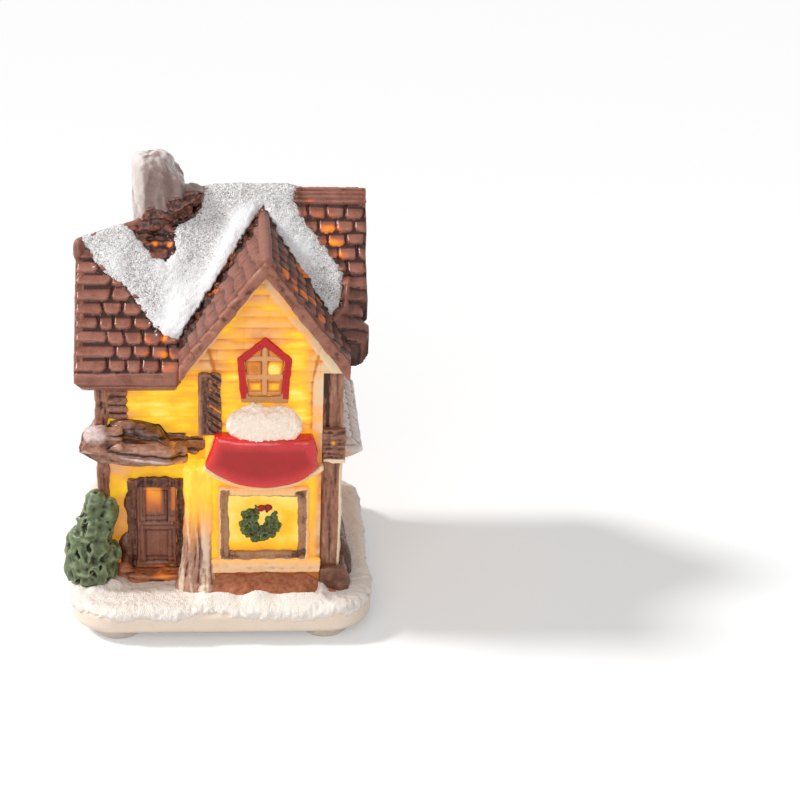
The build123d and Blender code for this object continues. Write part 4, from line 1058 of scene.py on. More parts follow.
# The chimney's pale second tone is dust and painted highlight on its top and left edge, and its worn tone paints
# highlight on the fold crests.
dressed(
    "chimney_stack", ["chimney"], chimney_grey, "chimney_grey", chimney_relief, frost=chimney_frost, voxel=0.24, rounds=8, depth=0.14,
    balls=[((-12.2, 4.4, 89.6), (2.6, 2.6, 2.2)), ((-6.2, 4.6, 83.8), (3.0, 1.7, 1.1)), ((-9.4, 2.6, 84.4), (1.9, 2.2, 2.0))],
)
saddle = [
    ((-12.4, 0.5, 79.6), (3.4, 0.9, 2.2)), ((-9.0, 0.8, 81.4), (3.2, 1.1, 2.3)), ((-6.4, 2.4, 82.6), (2.6, 1.6, 1.7)),
    ((-15.0, 0.2, 77.8), (2.0, 0.8, 1.3)), ((-17.6, -0.3, 77.2), (1.5, 0.9, 1.0)),
]
points, faces = cast([], 0.2, 5, 0.5, 1.9, 33, saddle)
steps = (points[:, 2] / 2.1 + 0.5 * noise(points, 3.0, 34)) % 1
points = points + outward(points, faces) * (0.35 * (0.5 - steps) + 0.25 * rough(points, 0.9, 35))[:, None]
saddle_shade = np.clip(0.8 * cavity(points, faces) - 0.5, -1, 1)
piece("chimney_saddle", points, faces, roof_brown, (), "roof_brown", cavity=saddle_shade, glow=0.0)

# %% [markdown]
# The walls are lap siding in cream glaze. The lamp inside shows through: amber where the clay is thick, yellow
# where it is thin. A ring of points round the house, with a board profile in each row, gives all four walls.

# %% House walls
HOUSE_X, HOUSE_FRONT, HOUSE_BACK, FLOOR_Z = 24.0, -14.0, 24.0, 7.3
BOARD = 2.25


def roof_under(x, y):
    """Height of the roof's underside over a place."""
    share = ridge_share(x)
    ridge_y = EAVE_FRONT + share * (RIDGE_Y - EAVE_FRONT)
    ridge_z = EAVE_Z + share * (RIDGE_Z - EAVE_Z)
    front = EAVE_Z + (y - EAVE_FRONT) * math.tan(SLOPE)
    back = EAVE_Z + (EAVE_BACK - y) / (EAVE_BACK - ridge_y) * (ridge_z - EAVE_Z)
    return np.minimum(front, back) - ROOF_DROP


def boards(across, z, seed):
    """Relief of lap siding: proud at each board's lower edge, with grain and butt joints."""
    flat = np.stack([np.ravel(across) * 0.12, np.ravel(z)], axis=1)
    wave = 0.14 * noise(np.stack([np.ravel(across), np.ravel(z) * 0.2], axis=1), 6, seed).reshape(z.shape)
    part = ((z + wave) / BOARD) % 1
    lap = 0.26 * (1 - part) * ramp(part, 0, 0.14) - 0.16 * np.exp(-((np.minimum(part, 1 - part) / 0.07) ** 2))
    row = np.floor((z + wave) / BOARD).astype(np.int64)
    joint = np.abs((across / 9.0 + shuffle(row, seed)) % 1 - 0.5) * 9.0
    return lap + 0.07 * rough(flat, 0.7, seed + 3).reshape(z.shape) - 0.14 * np.exp(-((joint / 0.12) ** 2))


def ring_walls():
    """Walls as a ring grid with caps."""
    corners = [(-HOUSE_X, HOUSE_FRONT), (HOUSE_X, HOUSE_FRONT), (HOUSE_X, HOUSE_BACK), (-HOUSE_X, HOUSE_BACK)]
    spots, outs, places = [], [], []
    walked = 0.0
    for (ax, ay), (bx, by) in zip(corners, corners[1:] + corners[:1]):
        length = math.hypot(bx - ax, by - ay)
        share = np.linspace(0, 1, int(length / 0.5), endpoint=False)
        spots.append(np.stack([ax + (bx - ax) * share, ay + (by - ay) * share], axis=1))
        outs.append(np.tile([(by - ay) / length, -(bx - ax) / length], (len(share), 1)))
        places.append(walked + share * length)
        walked += length
    spots, outs, place = np.concatenate(spots), np.concatenate(outs), np.concatenate(places)
    outs = outs + np.roll(outs, 1, axis=0)
    outs = outs / np.linalg.norm(outs, axis=1, keepdims=True)
    top = roof_under(spots[:, 0], spots[:, 1]) + 1.2
    level = np.linspace(0, 1, 230)
    z = FLOOR_Z + level[None, :] * (top - FLOOR_Z)[:, None]
    relief = boards(np.broadcast_to(place[:, None], z.shape), z, 120)
    front = (spots[:, 1] < HOUSE_FRONT + 0.5)[:, None]
    relief = relief * np.where(front, 0.12 + 0.45 * ramp(z, 40, 43), 1.0)
    at = np.empty(z.shape + (3,))
    at[..., :2] = spots[:, None, :] + outs[:, None, :] * relief[..., None]
    at[..., 2] = z
    rows, cols = z.shape
    number = np.arange(rows * cols).reshape(rows, cols)
    after = np.roll(number, -1, axis=0)
    quads = np.stack([number[:, :-1], after[:, :-1], after[:, 1:], number[:, 1:]], axis=-1).reshape(-1, 4)
    faces = [tuple(q) for q in quads.tolist()]
    faces += [tuple(reversed(number[:, 0].tolist())), tuple(number[:, -1].tolist())]
    # The board relief sets the glaze's value: painted highlight on each lap's edge and painted shade under it and in
    # the joints. On the front wall left of the door, under the canopy, the value is raised towards the paler tone.
    worn = 0.9 * front * ramp(at[..., 0], -16.5, -19.0) * ramp(z, 28, 31) * ramp(z, 40, 38)
    return at.reshape(-1, 3), faces, np.clip(relief / 0.2 - 0.1 + worn, -1, 1).ravel()


def wall_glow(points):
    """Lamp light on the house walls: strong on the front left, softer round the sides."""
    x, y, z = points.T
    front = y < HOUSE_FRONT + 1
    glow = 0.55 + 0.2 * rough(points, 9, 130)
    drawn = rough(points * np.array([0.25, 1, 1]), 1.6, 131)
    upper = 0.72 + 0.18 * np.exp(-(((x + 13.5) / 4.5) ** 2 + ((z - 47.5) / 2.6) ** 2)) + 0.32 * drawn - 0.12 * ramp(z, 49, 52)
    lower = 0.72 + 0.22 * rough(points, 3.5, 132) - 0.22 * ramp(x, -17.0, -20.5) * ramp(z, 27.5, 32)
    lower = lower - 0.14 * np.exp(-(((x + 20.5) / 2.0) ** 2 + ((z - 19) / 4) ** 2))
    glow = np.where(front, np.where(z > 39, upper, lower), glow)
    return np.clip(glow - 0.25 * ramp(z, 58, 76), 0.05, 1)


wall_points, wall_faces, wall_hollow = ring_walls()
piece(
    "house_wall_boards", wall_points, wall_faces, wall_cream, ["house_walls"], "lit_wall",
    cavity=wall_hollow, glow=wall_glow(wall_points),
)

# %% [markdown]
# The bay's front is one flat sheet of clay from the base to the gable's apex. The gable part has boards, a cream
# trim along the rakes and upright corner boards. The part round the shop window is plain. It is brightest over
# the lamp and pale at its edges.

# %% Bay and gable wall
BAY_LEFT, BAY_RIGHT, BAY_FRONT = -3.3, 19.7, -22.0


def bay_sheet():
    """Front of the bay with its point values."""
    x, z = np.meshgrid(
        np.linspace(GABLE_X - GABLE_HALF, GABLE_X + GABLE_HALF, 150),
        np.linspace(FLOOR_Z, GABLE_APEX - 1.0, 340), indexing="ij",
    )
    flat = np.stack([x.ravel(), z.ravel()], axis=1)
    rake = (gable_height(x) - 3.2 - z) * math.cos(GABLE_SLOPE)
    upper = ramp(z, 42.5, 44.5)
    relief = 0.55 * upper * boards(x, z, 140) + 0.12 * rough(flat, 3.0, 142).reshape(x.shape)
    trim = ramp(rake - np.where(x > GABLE_X, 2.7, 1.5), 0.0, -0.5) * ramp(z, 55.0, 56.5)
    relief = relief * (1 - trim) + 0.35 * trim
    post = np.maximum(ramp(np.abs(x - GABLE_X), 9.0, 9.5) * ramp(z, 57, 54), 0) * upper
    curve = np.abs(x - GABLE_X) - 9.2 - 0.05 * np.maximum(z - 52, 0) ** 1.6
    line = np.exp(-((curve / 0.28) ** 2)) * ramp(z, 42, 45) * ramp(z, 64, 60)
    relief = relief * (1 - 0.7 * post) + 0.18 * post - 0.25 * line
    top = np.stack([x, BAY_FRONT - relief, z], axis=-1)
    low = np.stack([x, np.full_like(x, HOUSE_FRONT + 0.2), z], axis=-1)
    inside = (x > BAY_LEFT - 0.06) & (x < BAY_RIGHT + 0.06)
    keep = cells(inside | (z > GABLE_FOOT - GABLE_DROP), gable_height(x) - z > 1.2)
    points, faces, spots = slab(top, low, keep)
    mottle = rough(flat, 6.0, 145).reshape(x.shape)
    strokes = rough(flat * np.array([0.16, 1.0]), 1.1, 146).reshape(x.shape)
    glow = 0.6 + 0.18 * mottle + 0.3 * strokes * upper
    glow = glow + 0.2 * np.exp(-(((np.abs(x - GABLE_X) - 6.5) / 2.6) ** 2 + ((z - 58) / 6) ** 2))
    glow = glow + 0.2 * np.exp(-(((np.abs(x - GABLE_X) - 7.0) / 3.0) ** 2 + ((z - 48) / 5) ** 2)) - 0.12 * ramp(z, 66, 74)
    glow = glow - 0.12 * ramp(x, 0.5, -4.0) * ramp(z, 54, 58) - 0.2 * ramp(x, 15.5, 18.5) * ramp(z, 46, 50)
    glow = glow - 0.2 * trim * np.where(x > GABLE_X, 1.0, 0.5) - 0.16 * post * ramp(x, 12, 17) - 0.12 * line
    low_part = 1 - upper
    corner = ramp(np.abs(x - GABLE_X), 10.2, 11.4)
    glow = glow + low_part * (0.14 + 0.1 * ramp(x, 1, -2.5) - 0.3 * corner * ramp(x, 8, 14) - 0.2 * ramp(x, 17.6, 19.2))
    # Below the sill the wall is dimmer and darker. Elsewhere the board relief sets the glaze's value, painted shade in
    # the grooves and under each lap, less on the trim.
    glow = glow - 0.45 * ramp(z, 14.2, 13.2)
    hollow = np.clip((relief - 0.08) / 0.2, -1, 1) * (0.85 - 0.3 * trim) - 0.8 * ramp(z, 14.2, 13.2)
    return points, faces, np.clip(glow, 0.05, 1).ravel()[spots], hollow.ravel()[spots]


bay_points, bay_faces, bay_glow, bay_hollow = bay_sheet()
piece("bay_front", bay_points, bay_faces, wall_cream, ["bay_walls"], "lit_wall", cavity=bay_hollow, glow=bay_glow)

# %% [markdown]
# Both windows have a frame brushed on in thick glaze, with edges that are not quite straight, and a pane that
# glows. The upper one is pointed, with bars, and its right pane shows the lamp itself as a hot spot.

# %% Windows
UPPER_X, UPPER_BAR, UPPER_FOOT = 8.2, 54.6, 51.0
SHOP_LEFT, SHOP_RIGHT, SHOP_LOW, SHOP_TOP = -0.5, 16.9, 15.4, 31.2


def upper_edge(points):
    """Distance inside the opening of the upper window, which widens upwards."""
    x, y, z = points.T
    return np.minimum(3.3 + 0.12 * (z - 51.7) - np.abs(x - UPPER_X), z - 51.7)


def upper_bars(points):
    """1 on the bars and on the bead round the panes."""
    bead = ramp(upper_edge(points) + 0.12 * rough(points, 1.2, 151), 0.38, 0.2)
    return np.maximum(ramp(points[:, 1], BAY_FRONT - 0.38, BAY_FRONT - 0.5), bead)


def upper_sill(points):
    """1 on the sill and the foot of the frame between its red sides."""
    x, y, z = points.T
    foot = ramp(z, UPPER_FOOT + 1.1, UPPER_FOOT + 0.8) * ramp(np.abs(x - UPPER_X), 3.7, 3.3)
    return np.maximum(foot, ramp(z, UPPER_FOOT, UPPER_FOOT - 0.5))


def upper_glow(points):
    """Lamp light on the upper panes, with dim bars and pane edges and the lamp as a hot spot."""
    x, y, z = points.T
    beside = np.minimum(np.abs(np.abs(x - UPPER_X) - 0.5), np.abs(np.abs(z - UPPER_BAR) - 0.5))
    beside = np.minimum(beside, np.abs(upper_edge(points) - 0.4))
    glow = 0.78 - 0.48 * np.exp(-((beside / 0.36) ** 2)) - 0.3 * ramp(z, 57.6, 58.6)
    glow = glow - 0.4 * np.exp(-(((x - 6.2) / 1.6) ** 2 + ((z - 56.6) / 1.6) ** 2)) + 0.12 * rough(points, 1.4, 150)
    glow = glow + 0.95 * np.exp(-(((x - 9.8) / 0.95) ** 2 + ((z - 56.6) / 0.9) ** 2))
    return glow * (1 - 0.65 * upper_bars(points))


def lower_glow(points):
    """Lamp light on the shop pane, dimmer low down and in a soft cloud beside the wreath."""
    x, y, z = points.T
    warm = 0.97 - 0.3 * ramp(z, 20.5, 16.5) + 0.08 * rough(points, 3.5, 152)
    cloud = np.exp(-(((x - 13.2) / 1.7) ** 2 + ((z - 24.0) / 4.5) ** 2))
    return warm - 0.12 * cloud - 0.06 * np.exp(-(((np.hypot(x - 7.6, z - 23.6) - 4.6) / 1.2) ** 2))


def shop_edge(points):
    """Distance inside the shop window's outer edge."""
    x, y, z = points.T
    return np.minimum(np.minimum(x - SHOP_LEFT, SHOP_RIGHT - x), np.minimum(z - SHOP_LOW, SHOP_TOP - z))


def shop_bead(points):
    """Cream bead round the frame's outside, and a gap in the brown at the top."""
    x, y, z = points.T
    edge = shop_edge(points) + 0.35 * rough(points, 1.6, 158)
    return np.clip(ramp(edge, 0.3, 0.0) + 0.8 * ramp(z, 29.4, 30.2) * ramp(np.abs(x - 8.0), 7.0, 6.0), 0, 1)


def shop_shade(points):
    x, y, z = points.T
    low = np.exp(-((z - 16.8) / 1.2) ** 2) * (np.exp(-((x - 1.6) / 2.0) ** 2) + np.exp(-((x - 14.6) / 2.4) ** 2))
    patchy = ramp(rough(points, 2.2, 159), 0.05, 0.5)
    return -0.7 * low - 0.35 * patchy - 0.8 * np.exp(-(((x - 15.4) / 1.2) ** 2 + ((z - 29.6) / 1.4) ** 2))


pane_amber = glazed(
    "pane_amber", (170, 112, 58), (84, 44, 20), (190, 134, 80), 0.3, (0.18, 0.3), 0.4, relief=0.15, warm=(214, 128, 24),
    frost=(226, 162, 106),
)
dressed(
    "upper_window_surround", ["upper_window_frame"], window_red, "red_glaze",
    lambda p, out: along("x", 1.4, 154, 0.2)(p, out) - out * np.array([0.06, 0, 0.1]),
    voxel=0.16, rounds=4, wobble=0.24, lump=1.8, seed=155, frost=upper_sill,
)
dressed(
    "upper_window_lights", ["upper_window_pane"], pane_amber, "lit_pane", glow=upper_glow, frost=upper_bars, voxel=0.14, rounds=2,
    wobble=0.08, lump=1.0, depth=0.08,
)
dressed(
    "shop_window_surround", ["lower_window_frame"], frame_brown, "timber_brown",
    lambda p, out: out * 0.4 + along("z", 1.0, 156, 0.25)(p, out),
    voxel=0.17, rounds=5, wobble=0.4, lump=1.6, seed=157, frost=shop_bead, shade=shop_shade,
    glow=lambda p: 0.4 * shop_bead(p),
)
dressed("shop_window_light", ["lower_window_pane"], pane_amber, "lit_pane", glow=lower_glow, voxel=0.2, rounds=1, wobble=0.05)

# %% [markdown]
# The wreath is a ring of pressed leaves, open at its upper right, with a small red bow. Many small lumps are
# placed round an arc and melted together, which leaves dark gaps between them.

# %% Wreath
WREATH = np.array([7.6, BAY_FRONT - 0.4, 23.6])
LEAVES, LEAF_START, LEAF_SWEEP = 78, 102, 296


def wreath_leaves():
    """Lumps round the wreath's arc, thicker towards its foot."""
    lumps = []
    for k in range(LEAVES):
        turn = math.radians(LEAF_START + LEAF_SWEEP * (k + 0.5) / LEAVES)
        thick = 0.85 + 0.35 * math.sin(math.pi * (k + 0.5) / LEAVES)
        out = 2.6 + 1.1 * thick * (2 * float(shuffle(k, 160)) - 1)
        size = (0.42 + 0.4 * float(shuffle(k, 161))) * thick
        centre = WREATH + np.array([out * math.cos(turn), -0.4 * float(shuffle(k, 162)), out * math.sin(turn)])
        lumps.append((centre, (size * 1.15, 0.5 + 0.3 * float(shuffle(k, 163)), size)))
    return lumps


points, faces = cast([], 0.12, 1, 0.42, 0.55, 165, wreath_leaves())
points[:, 1] = np.minimum(points[:, 1], BAY_FRONT - 0.2)
piece(
    "wreath_leaves", points, faces, wreath_green, ["wreath"], "green_glaze", cavity=cavity(points, faces, 6, 0.1), glow=0.0
)
bow = [
    ((7.75, -22.8, 26.9), (0.95, 0.5, 0.7)), ((9.1, -22.8, 27.0), (0.85, 0.5, 0.7)), ((8.45, -23.0, 27.1), (0.4, 0.45, 0.4)),
    ((8.9, -22.8, 26.4), (0.35, 0.4, 0.6)),
]
points, faces = cast([], 0.12, 1, 0.15, 0.6, 166, bow)
piece("wreath_bow_red", points, faces, bow_red, ["wreath_bow"], "red_glaze", cavity=cavity(points, faces), glow=0.0)

# %% [markdown]
# The sign is a bowed board in red glaze: a glossy rim and a flatter, paler field that stays bare. A value on the
# points marks the field, and the material changes its colour and gloss there.

# %% Sign
SIGN_X, SIGN_LOW, SIGN_TOP, SIGN_SIDE = 8.2, 32.5, 43.1, 36.85


def sign_rim():
    """Outline of the sign in X and Z."""
    turns = np.linspace(-1, 1, 25)
    belly = [(SIGN_X + 11.7 * t, SIGN_LOW + (SIGN_SIDE - SIGN_LOW) * t * t) for t in turns]
    return tuple(belly + [(SIGN_X + 9.5, SIGN_TOP), (SIGN_X - 9.5, SIGN_TOP)])


def sign_field(points):
    """1 on the field, 0 on the rim."""
    deep = inside_by(points[:, 0], points[:, 2], sign_rim()) + 0.25 * noise(points, 2.0, 170)
    return ramp(deep, 0.8, 3.2) * (points[:, 1] < -24.0)


def sign_relief(points, out):
    """Board bowed outwards, with a low field, a rounded right end and uneven edges."""
    x, y, z = points.T
    bow_out = 0.9 * (1 - ((x - SIGN_X) / 12) ** 2) - 0.25 * sign_field(points)
    move = out * (0.2 * rough(points, 3.5, 172))[:, None]
    move[:, 1] -= bow_out * ramp(y, -22.6, -24.0)
    move[:, 0] -= 1.0 * ramp(x, 16.0, 19.9) * ramp(np.abs(z - 36.6), 4.0, 1.0)
    move[:, 2] += 0.5 * ramp(np.abs(x - SIGN_X), 4.0, 9.0) * ramp(z, 40.0, 43.0) * ramp(x, 9.0, 4.0)
    return move


def make_sign_red():
    """Red glaze with a paler field."""
    made, tree, shader = material("sign_red", coat=0.35)
    field = point_value(tree, "frost")
    paint = placed(tree, glaze_group, base=tone(212, 14, 22), wash=tone(150, 8, 14), worn=tone(228, 40, 38), wear=0.4)
    brushed = blend(tree, grain(tree, 260.0, 5.0), tone(162, 11, 14), tone(190, 24, 24))
    wire(tree, blend(tree, field, paint.outputs["Color"], brushed), shader.inputs["Base Color"])
    wire(tree, spread(tree, field, 0.0, 1.0, 0.2, 0.42), shader.inputs["Roughness"])
    wire(tree, spread(tree, field, 0.0, 1.0, 0.45, 0.12), shader.inputs["Coat Weight"])
    bumped(tree, shader, paint.outputs["Height"], 0.2, 0.0001)
    return made


sign_red = make_sign_red()
dressed(
    "sign_panel", ["sign_board"], sign_red, "red_glaze", sign_relief, frost=sign_field, voxel=0.22, rounds=10, wobble=0.05,
)
dressed(
    "sign_lip", ["sign_ledge"], trim_cream, "lit_wall", lambda p, out: out * 0.2 + along("x", 1.5, 174, 0.2)(p, out),
    voxel=0.2, rounds=3, wobble=0.25, lump=2.0, glow=lambda p: 0.3 + 0.2 * noise(p, 4, 175),
)


def grains(size, strength, seed):
    """Relief of snow: soft lumps under fine grains."""
    return lambda points, out: out * (strength * rough(points, size, seed, 4))[:, None]


def pillow_relief(points, out):
    """Clump pressed flat towards the wall and thin at its ends, under fine grains."""
    x, y, z = points.T
    move = grains(0.6, 0.6, 176)(points, out)
    move[:, 1] += 0.9 * ramp(y, -22.6, -24.6) * ramp(np.abs(x - 8.8), 1.5, 6.5)
    move[:, 2] += 0.5 * noise(points[:, :1], 2.4, 177) * ramp(z, 44.5, 48.5)
    return move


dressed(
    "sign_snow_pillow", ["sign_snow"], pillow_snow, "snow", pillow_relief, voxel=0.2, rounds=7, wobble=0.5, lump=3,
    balls=[((6.6, -23.2, 47.9), (3.2, 1.2, 1.6)), ((9.8, -23.2, 47.8), (2.8, 1.2, 1.5)), ((13.2, -23.6, 44.4), (2.0, 1.2, 1.4))],
)

# %% [markdown]
# Timber on the front is brown glaze drawn into grain with a brush. The post left of the bay swells like a trunk
# and turns from cream at its top to brown at its foot. Cream shows along some edges where the brown was wiped off.

# %% Timber


def trunk_frost(points):
    """Cream at the top, brown streaks that widen towards the foot."""
    x, y, z = points.T
    streak = rough(np.stack([x + 0.05 * z, z * 0.06], axis=1), 0.7, 180)
    return np.clip(0.62 - 0.35 * ramp(z, 27, 13) + 0.9 * streak, 0, 1)


def trunk_relief(points, out):
    """Bark drawn upwards, and a foot that spreads to both sides."""
    move = along("z", 0.8, 184, 0.75)(points, out)
    move[:, 0] += 1.3 * np.clip((points[:, 0] + 3.6) / 2.5, -1, 0.4) * ramp(points[:, 2], 19, 8)
    return move


def post_frost(points):
    x, y, z = points.T
    return np.clip(1.1 * ramp(x, 23.0, 23.5) * ramp(z, 37, 34) + 0.3 * noise(points * np.array([1, 1, 0.2]), 1.2, 181), 0, 1)


def stack_relief(points, out):
    """Logs one over the other."""
    wave = np.abs(np.sin(points[:, 2] * math.pi / 1.75))
    return out * (0.4 * wave - 0.2 + 0.2 * rough(points * np.array([0.3, 1, 1]), 1.2, 182))[:, None]


def lattice(points):
    """1 in the gaps of a small lattice on the right half of the upper post."""
    x, y, z = points.T
    rows = np.abs(np.sin(z * math.pi / 1.7 + 1.4 * x))
    return ramp(x, -2.7, -2.4) * ramp(rows, 0.75, 0.35)


def lattice_relief(points, out):
    front = ramp(-out[:, 1], 0.3, 0.8)
    return along("z", 0.8, 190, 0.2)(points, out) + out * (0.3 - 0.35 * lattice(points) * front)[:, None]


dressed(
    "bay_trunk", ["bay_post_left"], trunk_brown, "timber_brown", trunk_relief, frost=trunk_frost,
    glow=lambda p: 0.8 * ramp(p[:, 2] + 3.0 * noise(p * np.array([1, 1, 0.1]), 0.9, 185), 12, 32), wobble=0.35,
    lump=3.0, rounds=8,
    balls=[((-4.9, -21.2, 9.0), (3.4, 2.6, 2.2)), ((-2.8, -22.6, 8.6), (2.2, 2.0, 1.6)), ((-6.6, -20.4, 8.4), (1.8, 2.0, 1.6))],
)
dressed(
    "bay_corner_post", ["bay_post_right"], timber_brown, "timber_brown", along("z", 0.9, 186, 0.45), frost=post_frost,
    wobble=0.3, lump=2.6, rounds=4, shade=lambda p: -0.7 * ramp(p[:, 2], 40, 44) * ramp(p[:, 0], 21.2, 20.6),
)
dressed(
    "post_boot", ["post_foot"], timber_brown, "timber_brown", grains(2.6, 0.35, 188), wobble=0.5, lump=2.4, rounds=8,
    balls=[((24.0, -20.6, 8.8), (2.2, 2.4, 2.2))], depth=0.5, shade=lambda p: np.full(len(p), -0.35),
)
dressed(
    "gable_side_post", ["upper_post_left"], timber_brown, "timber_brown", lattice_relief, wobble=0.25, lump=1.6, rounds=3,
    voxel=0.18, shade=lambda p: -0.45 - 0.5 * lattice(p) - 0.2 * ramp(p[:, 0], -2.9, -2.4),
    glow=lambda p: 0.5 * lattice(p) * ramp(noise(p, 1.3, 191), 0.15, 0.5),
)
dressed("wing_post", ["wing_corner_post"], timber_brown, "timber_brown", along("z", 0.9, 192, 0.4), wobble=0.4, lump=2.4, rounds=4,
        shade=lambda p: np.full(len(p), -0.2))
dressed("plank_ends", ["plank_stack"], timber_brown, "timber_brown", stack_relief, voxel=0.2, wobble=0.35, lump=1.6, rounds=3,
        shade=lambda p: np.full(len(p), -0.2))
dressed(
    "corner_beam_end", ["corner_bracket"], timber_brown, "timber_brown", along("x", 1.0, 194, 0.45), voxel=0.2, wobble=0.4,
    lump=2.0, rounds=6, glow=lambda p: 0.62 * np.exp(-((np.hypot(p[:, 0] - 21.8, p[:, 2] - 40.8) / 0.55) ** 2)),
    frost=lambda p: 0.9 * ramp(p[:, 2], 37.4, 36.8) + 0.2 * noise(p, 1.5, 195), shade=lambda p: np.full(len(p), -0.2),
)

# %% [markdown]
# The canopy over the door is a pile of planks and logs with frost on its corner. It wraps the left corner of the
# house. The pent roof on the right wall has small worn shingles.

# %% Canopies
PENT_TOP = 39.3


def canopy_logs(points):
    """0 in the joints between the logs and 1 on their backs, falling to the right."""
    x, y, z = points.T
    tilt = z + 0.13 * (x + 18) + 0.12 * noise(points[:, :2], 4, 200)
    return np.sqrt(np.abs(np.sin(tilt * math.pi / 2.7)))


def canopy_shade(points):
    """Dark joints and a darker upper side."""
    x, y, z = points.T
    joint = ramp(canopy_logs(points) + 0.2 * rough(points, 1.2, 204), 0.6, 0.25) * ramp(x, -24.0, -21.0)
    streak = ramp(rough(points * np.array([0.12, 0.6, 1]), 0.7, 218), 0.05, 0.4)
    return 0.16 - 1.1 * joint - 0.7 * streak * ramp(x, -23.0, -20.5) - 0.5 * ramp(x, -20.5, -18.5) * ramp(z, 38.8, 40.2)


def canopy_relief(points, out):
    """Logs that lie along the front, with a boat-shaped left end."""
    x, y, z = points.T
    log = canopy_logs(points) * ramp(x, -22.5, -19.5)
    coarse = rough(points * np.array([0.15, 0.5, 1]), 1.0, 201)
    chips = rough(points * np.array([0.5, 1, 1]), 2.2, 203)
    move = out * (0.9 * log - 0.5 + 0.4 * coarse + 0.5 * chips)[:, None]
    fall = 1.0 * ramp(x, -19.0, -13.0) + 2.2 * ramp(x + 0.5 * chips, -12.6, -10.4)
    move[:, 2] -= fall * ramp(z, 38.0, 42.5) * ramp(y, -10.0, -14.0)
    move[:, 2] += 2.4 * ramp(x, -23.5, -28.2) * ramp(z, 39.0, 35.5)
    move[:, 0] += 0.8 * np.maximum(-24.4 - x, 0) * ramp(y, -13.0, -4.0)
    move[:, 1] += 2.0 * ramp(x, -12.0, -8.0) ** 2 * ramp(y, -15.0, -18.0)
    return move


def canopy_frost(points):
    """Frost on the upper left corner and patches further back."""
    x, y, z = points.T
    corner = ramp(x, -20.5, -24.5) * ramp(z, 38.0, 41.0)
    line = np.exp(-(((z + 0.13 * (x + 18) - 36.9) / 0.22) ** 2)) * ramp(noise(points, 3.0, 208), -0.3, 0.2)
    return np.clip(0.6 * corner + 0.75 * line + 0.35 * rough(points, 1.8, 202), 0, 1)


def pent_tiles(points):
    return tiles(points[:, 1] * 1.4, (points[:, 2] - PENT_TOP) * 1.7 + 20, 205, 0.6)


def pent_relief(points, out):
    height, _, _ = pent_tiles(points)
    face = ramp(out[:, 0] + out[:, 2], 0.5, 0.9)
    return out * (height * face + 0.15 * rough(points, 1.2, 206))[:, None]


dressed(
    "door_canopy_logs", ["door_canopy"], canopy_brown, "timber_brown", canopy_relief, frost=canopy_frost, voxel=0.22,
    rounds=5, wobble=0.4, lump=2.6, seed=207, depth=0.13,
    shade=canopy_shade,
    glow=lambda p: 0.55 * ramp(p[:, 0], -11.5, -8.5) * (p[:, 1] < -17) * ramp(rough(p, 1.6, 209), 0.1, 0.4),
    balls=[
        ((-24.4, -17.6, 40.6), (3.0, 2.6, 2.4)), ((-21.6, -17.4, 40.2), (2.4, 2.0, 2.2)), ((-20.8, -20.2, 38.6), (1.4, 0.7, 1.0)),
        ((-26.2, -16.2, 40.2), (1.7, 2.2, 1.9)), ((-8.0, -16.0, 37.8), (2.8, 1.6, 2.4)), ((-5.6, -15.8, 37.6), (2.0, 1.3, 2.3)),
    ],
)
# The pent's shingles take the tiles' painted highlight and painted shade.
dressed(
    "pent_roof_tiles", ["side_canopy"], pent_grey, "timber_brown", pent_relief, voxel=0.25, rounds=2, wobble=0.2, lump=2.0,
    frost=lambda p: 0.9 * ramp(p[:, 2], PENT_TOP - 4.4, PENT_TOP - 5.2) + 0.15 * noise(p, 2, 208), depth=0.18,
    shade=lambda p: 0.3 + 0.55 * tile_shade(*pent_tiles(p)[::2]),
)

# %% [markdown]
# The door is a panelled leaf in a heavy frame, with the lamp showing through its upper panel and through a narrow
# gap beside it. It stands over a step. Grain runs upwards in both.

# %% Door
DOOR_BOXES = (
    (-16.6, -11.0, 19.8, 29.0), (-15.9, -11.5, 20.9, 28.2), (-10.7, -8.9, 21.0, 28.6), (-16.6, -9.2, 10.6, 18.8),
    (-15.7, -10.1, 11.6, 17.8),
)


def soft_box(points, left, right, low, high, soft):
    """1 inside a rectangle on the front, fading at its edges."""
    x, y, z = points.T
    return ramp(x, left, left + soft) * ramp(x, right, right - soft) * ramp(z, low, low + soft) * ramp(z, high, high - soft)


def door_glow(points):
    """Lamp light through the upper panel, the gap beside it and under the leaf."""
    panel = soft_box(points, -15.8, -11.6, 21.0, 28.0, 1.0)
    gap = soft_box(points, -10.5, -9.0, 22.0, 28.2, 0.5)
    return 0.6 * panel * (0.5 + 0.5 * ramp(points[:, 2], 22, 26)) + 0.42 * gap + 0.08 * noise(points, 1.5, 210) * panel


def door_lines(points):
    """1 on the dark lines round the panels, doubled round the upper one."""
    x, y, z = points.T
    lines = 0.0
    for left, right, low, high in DOOR_BOXES:
        edge = np.minimum(np.minimum(x - left, right - x), np.minimum(z - low, high - z))
        lines = np.maximum(lines, np.exp(-(((edge + 0.1 * noise(points, 0.8, 211)) / 0.2) ** 2)))
    return lines


def step_glow(points):
    under = np.exp(-(((points[:, 0] + 11.5) / 3.0) ** 2 + ((points[:, 2] - 9.4) / 0.8) ** 2))
    return 0.5 * under * ramp(noise(points, 1.6, 217), -0.4, 0.4)


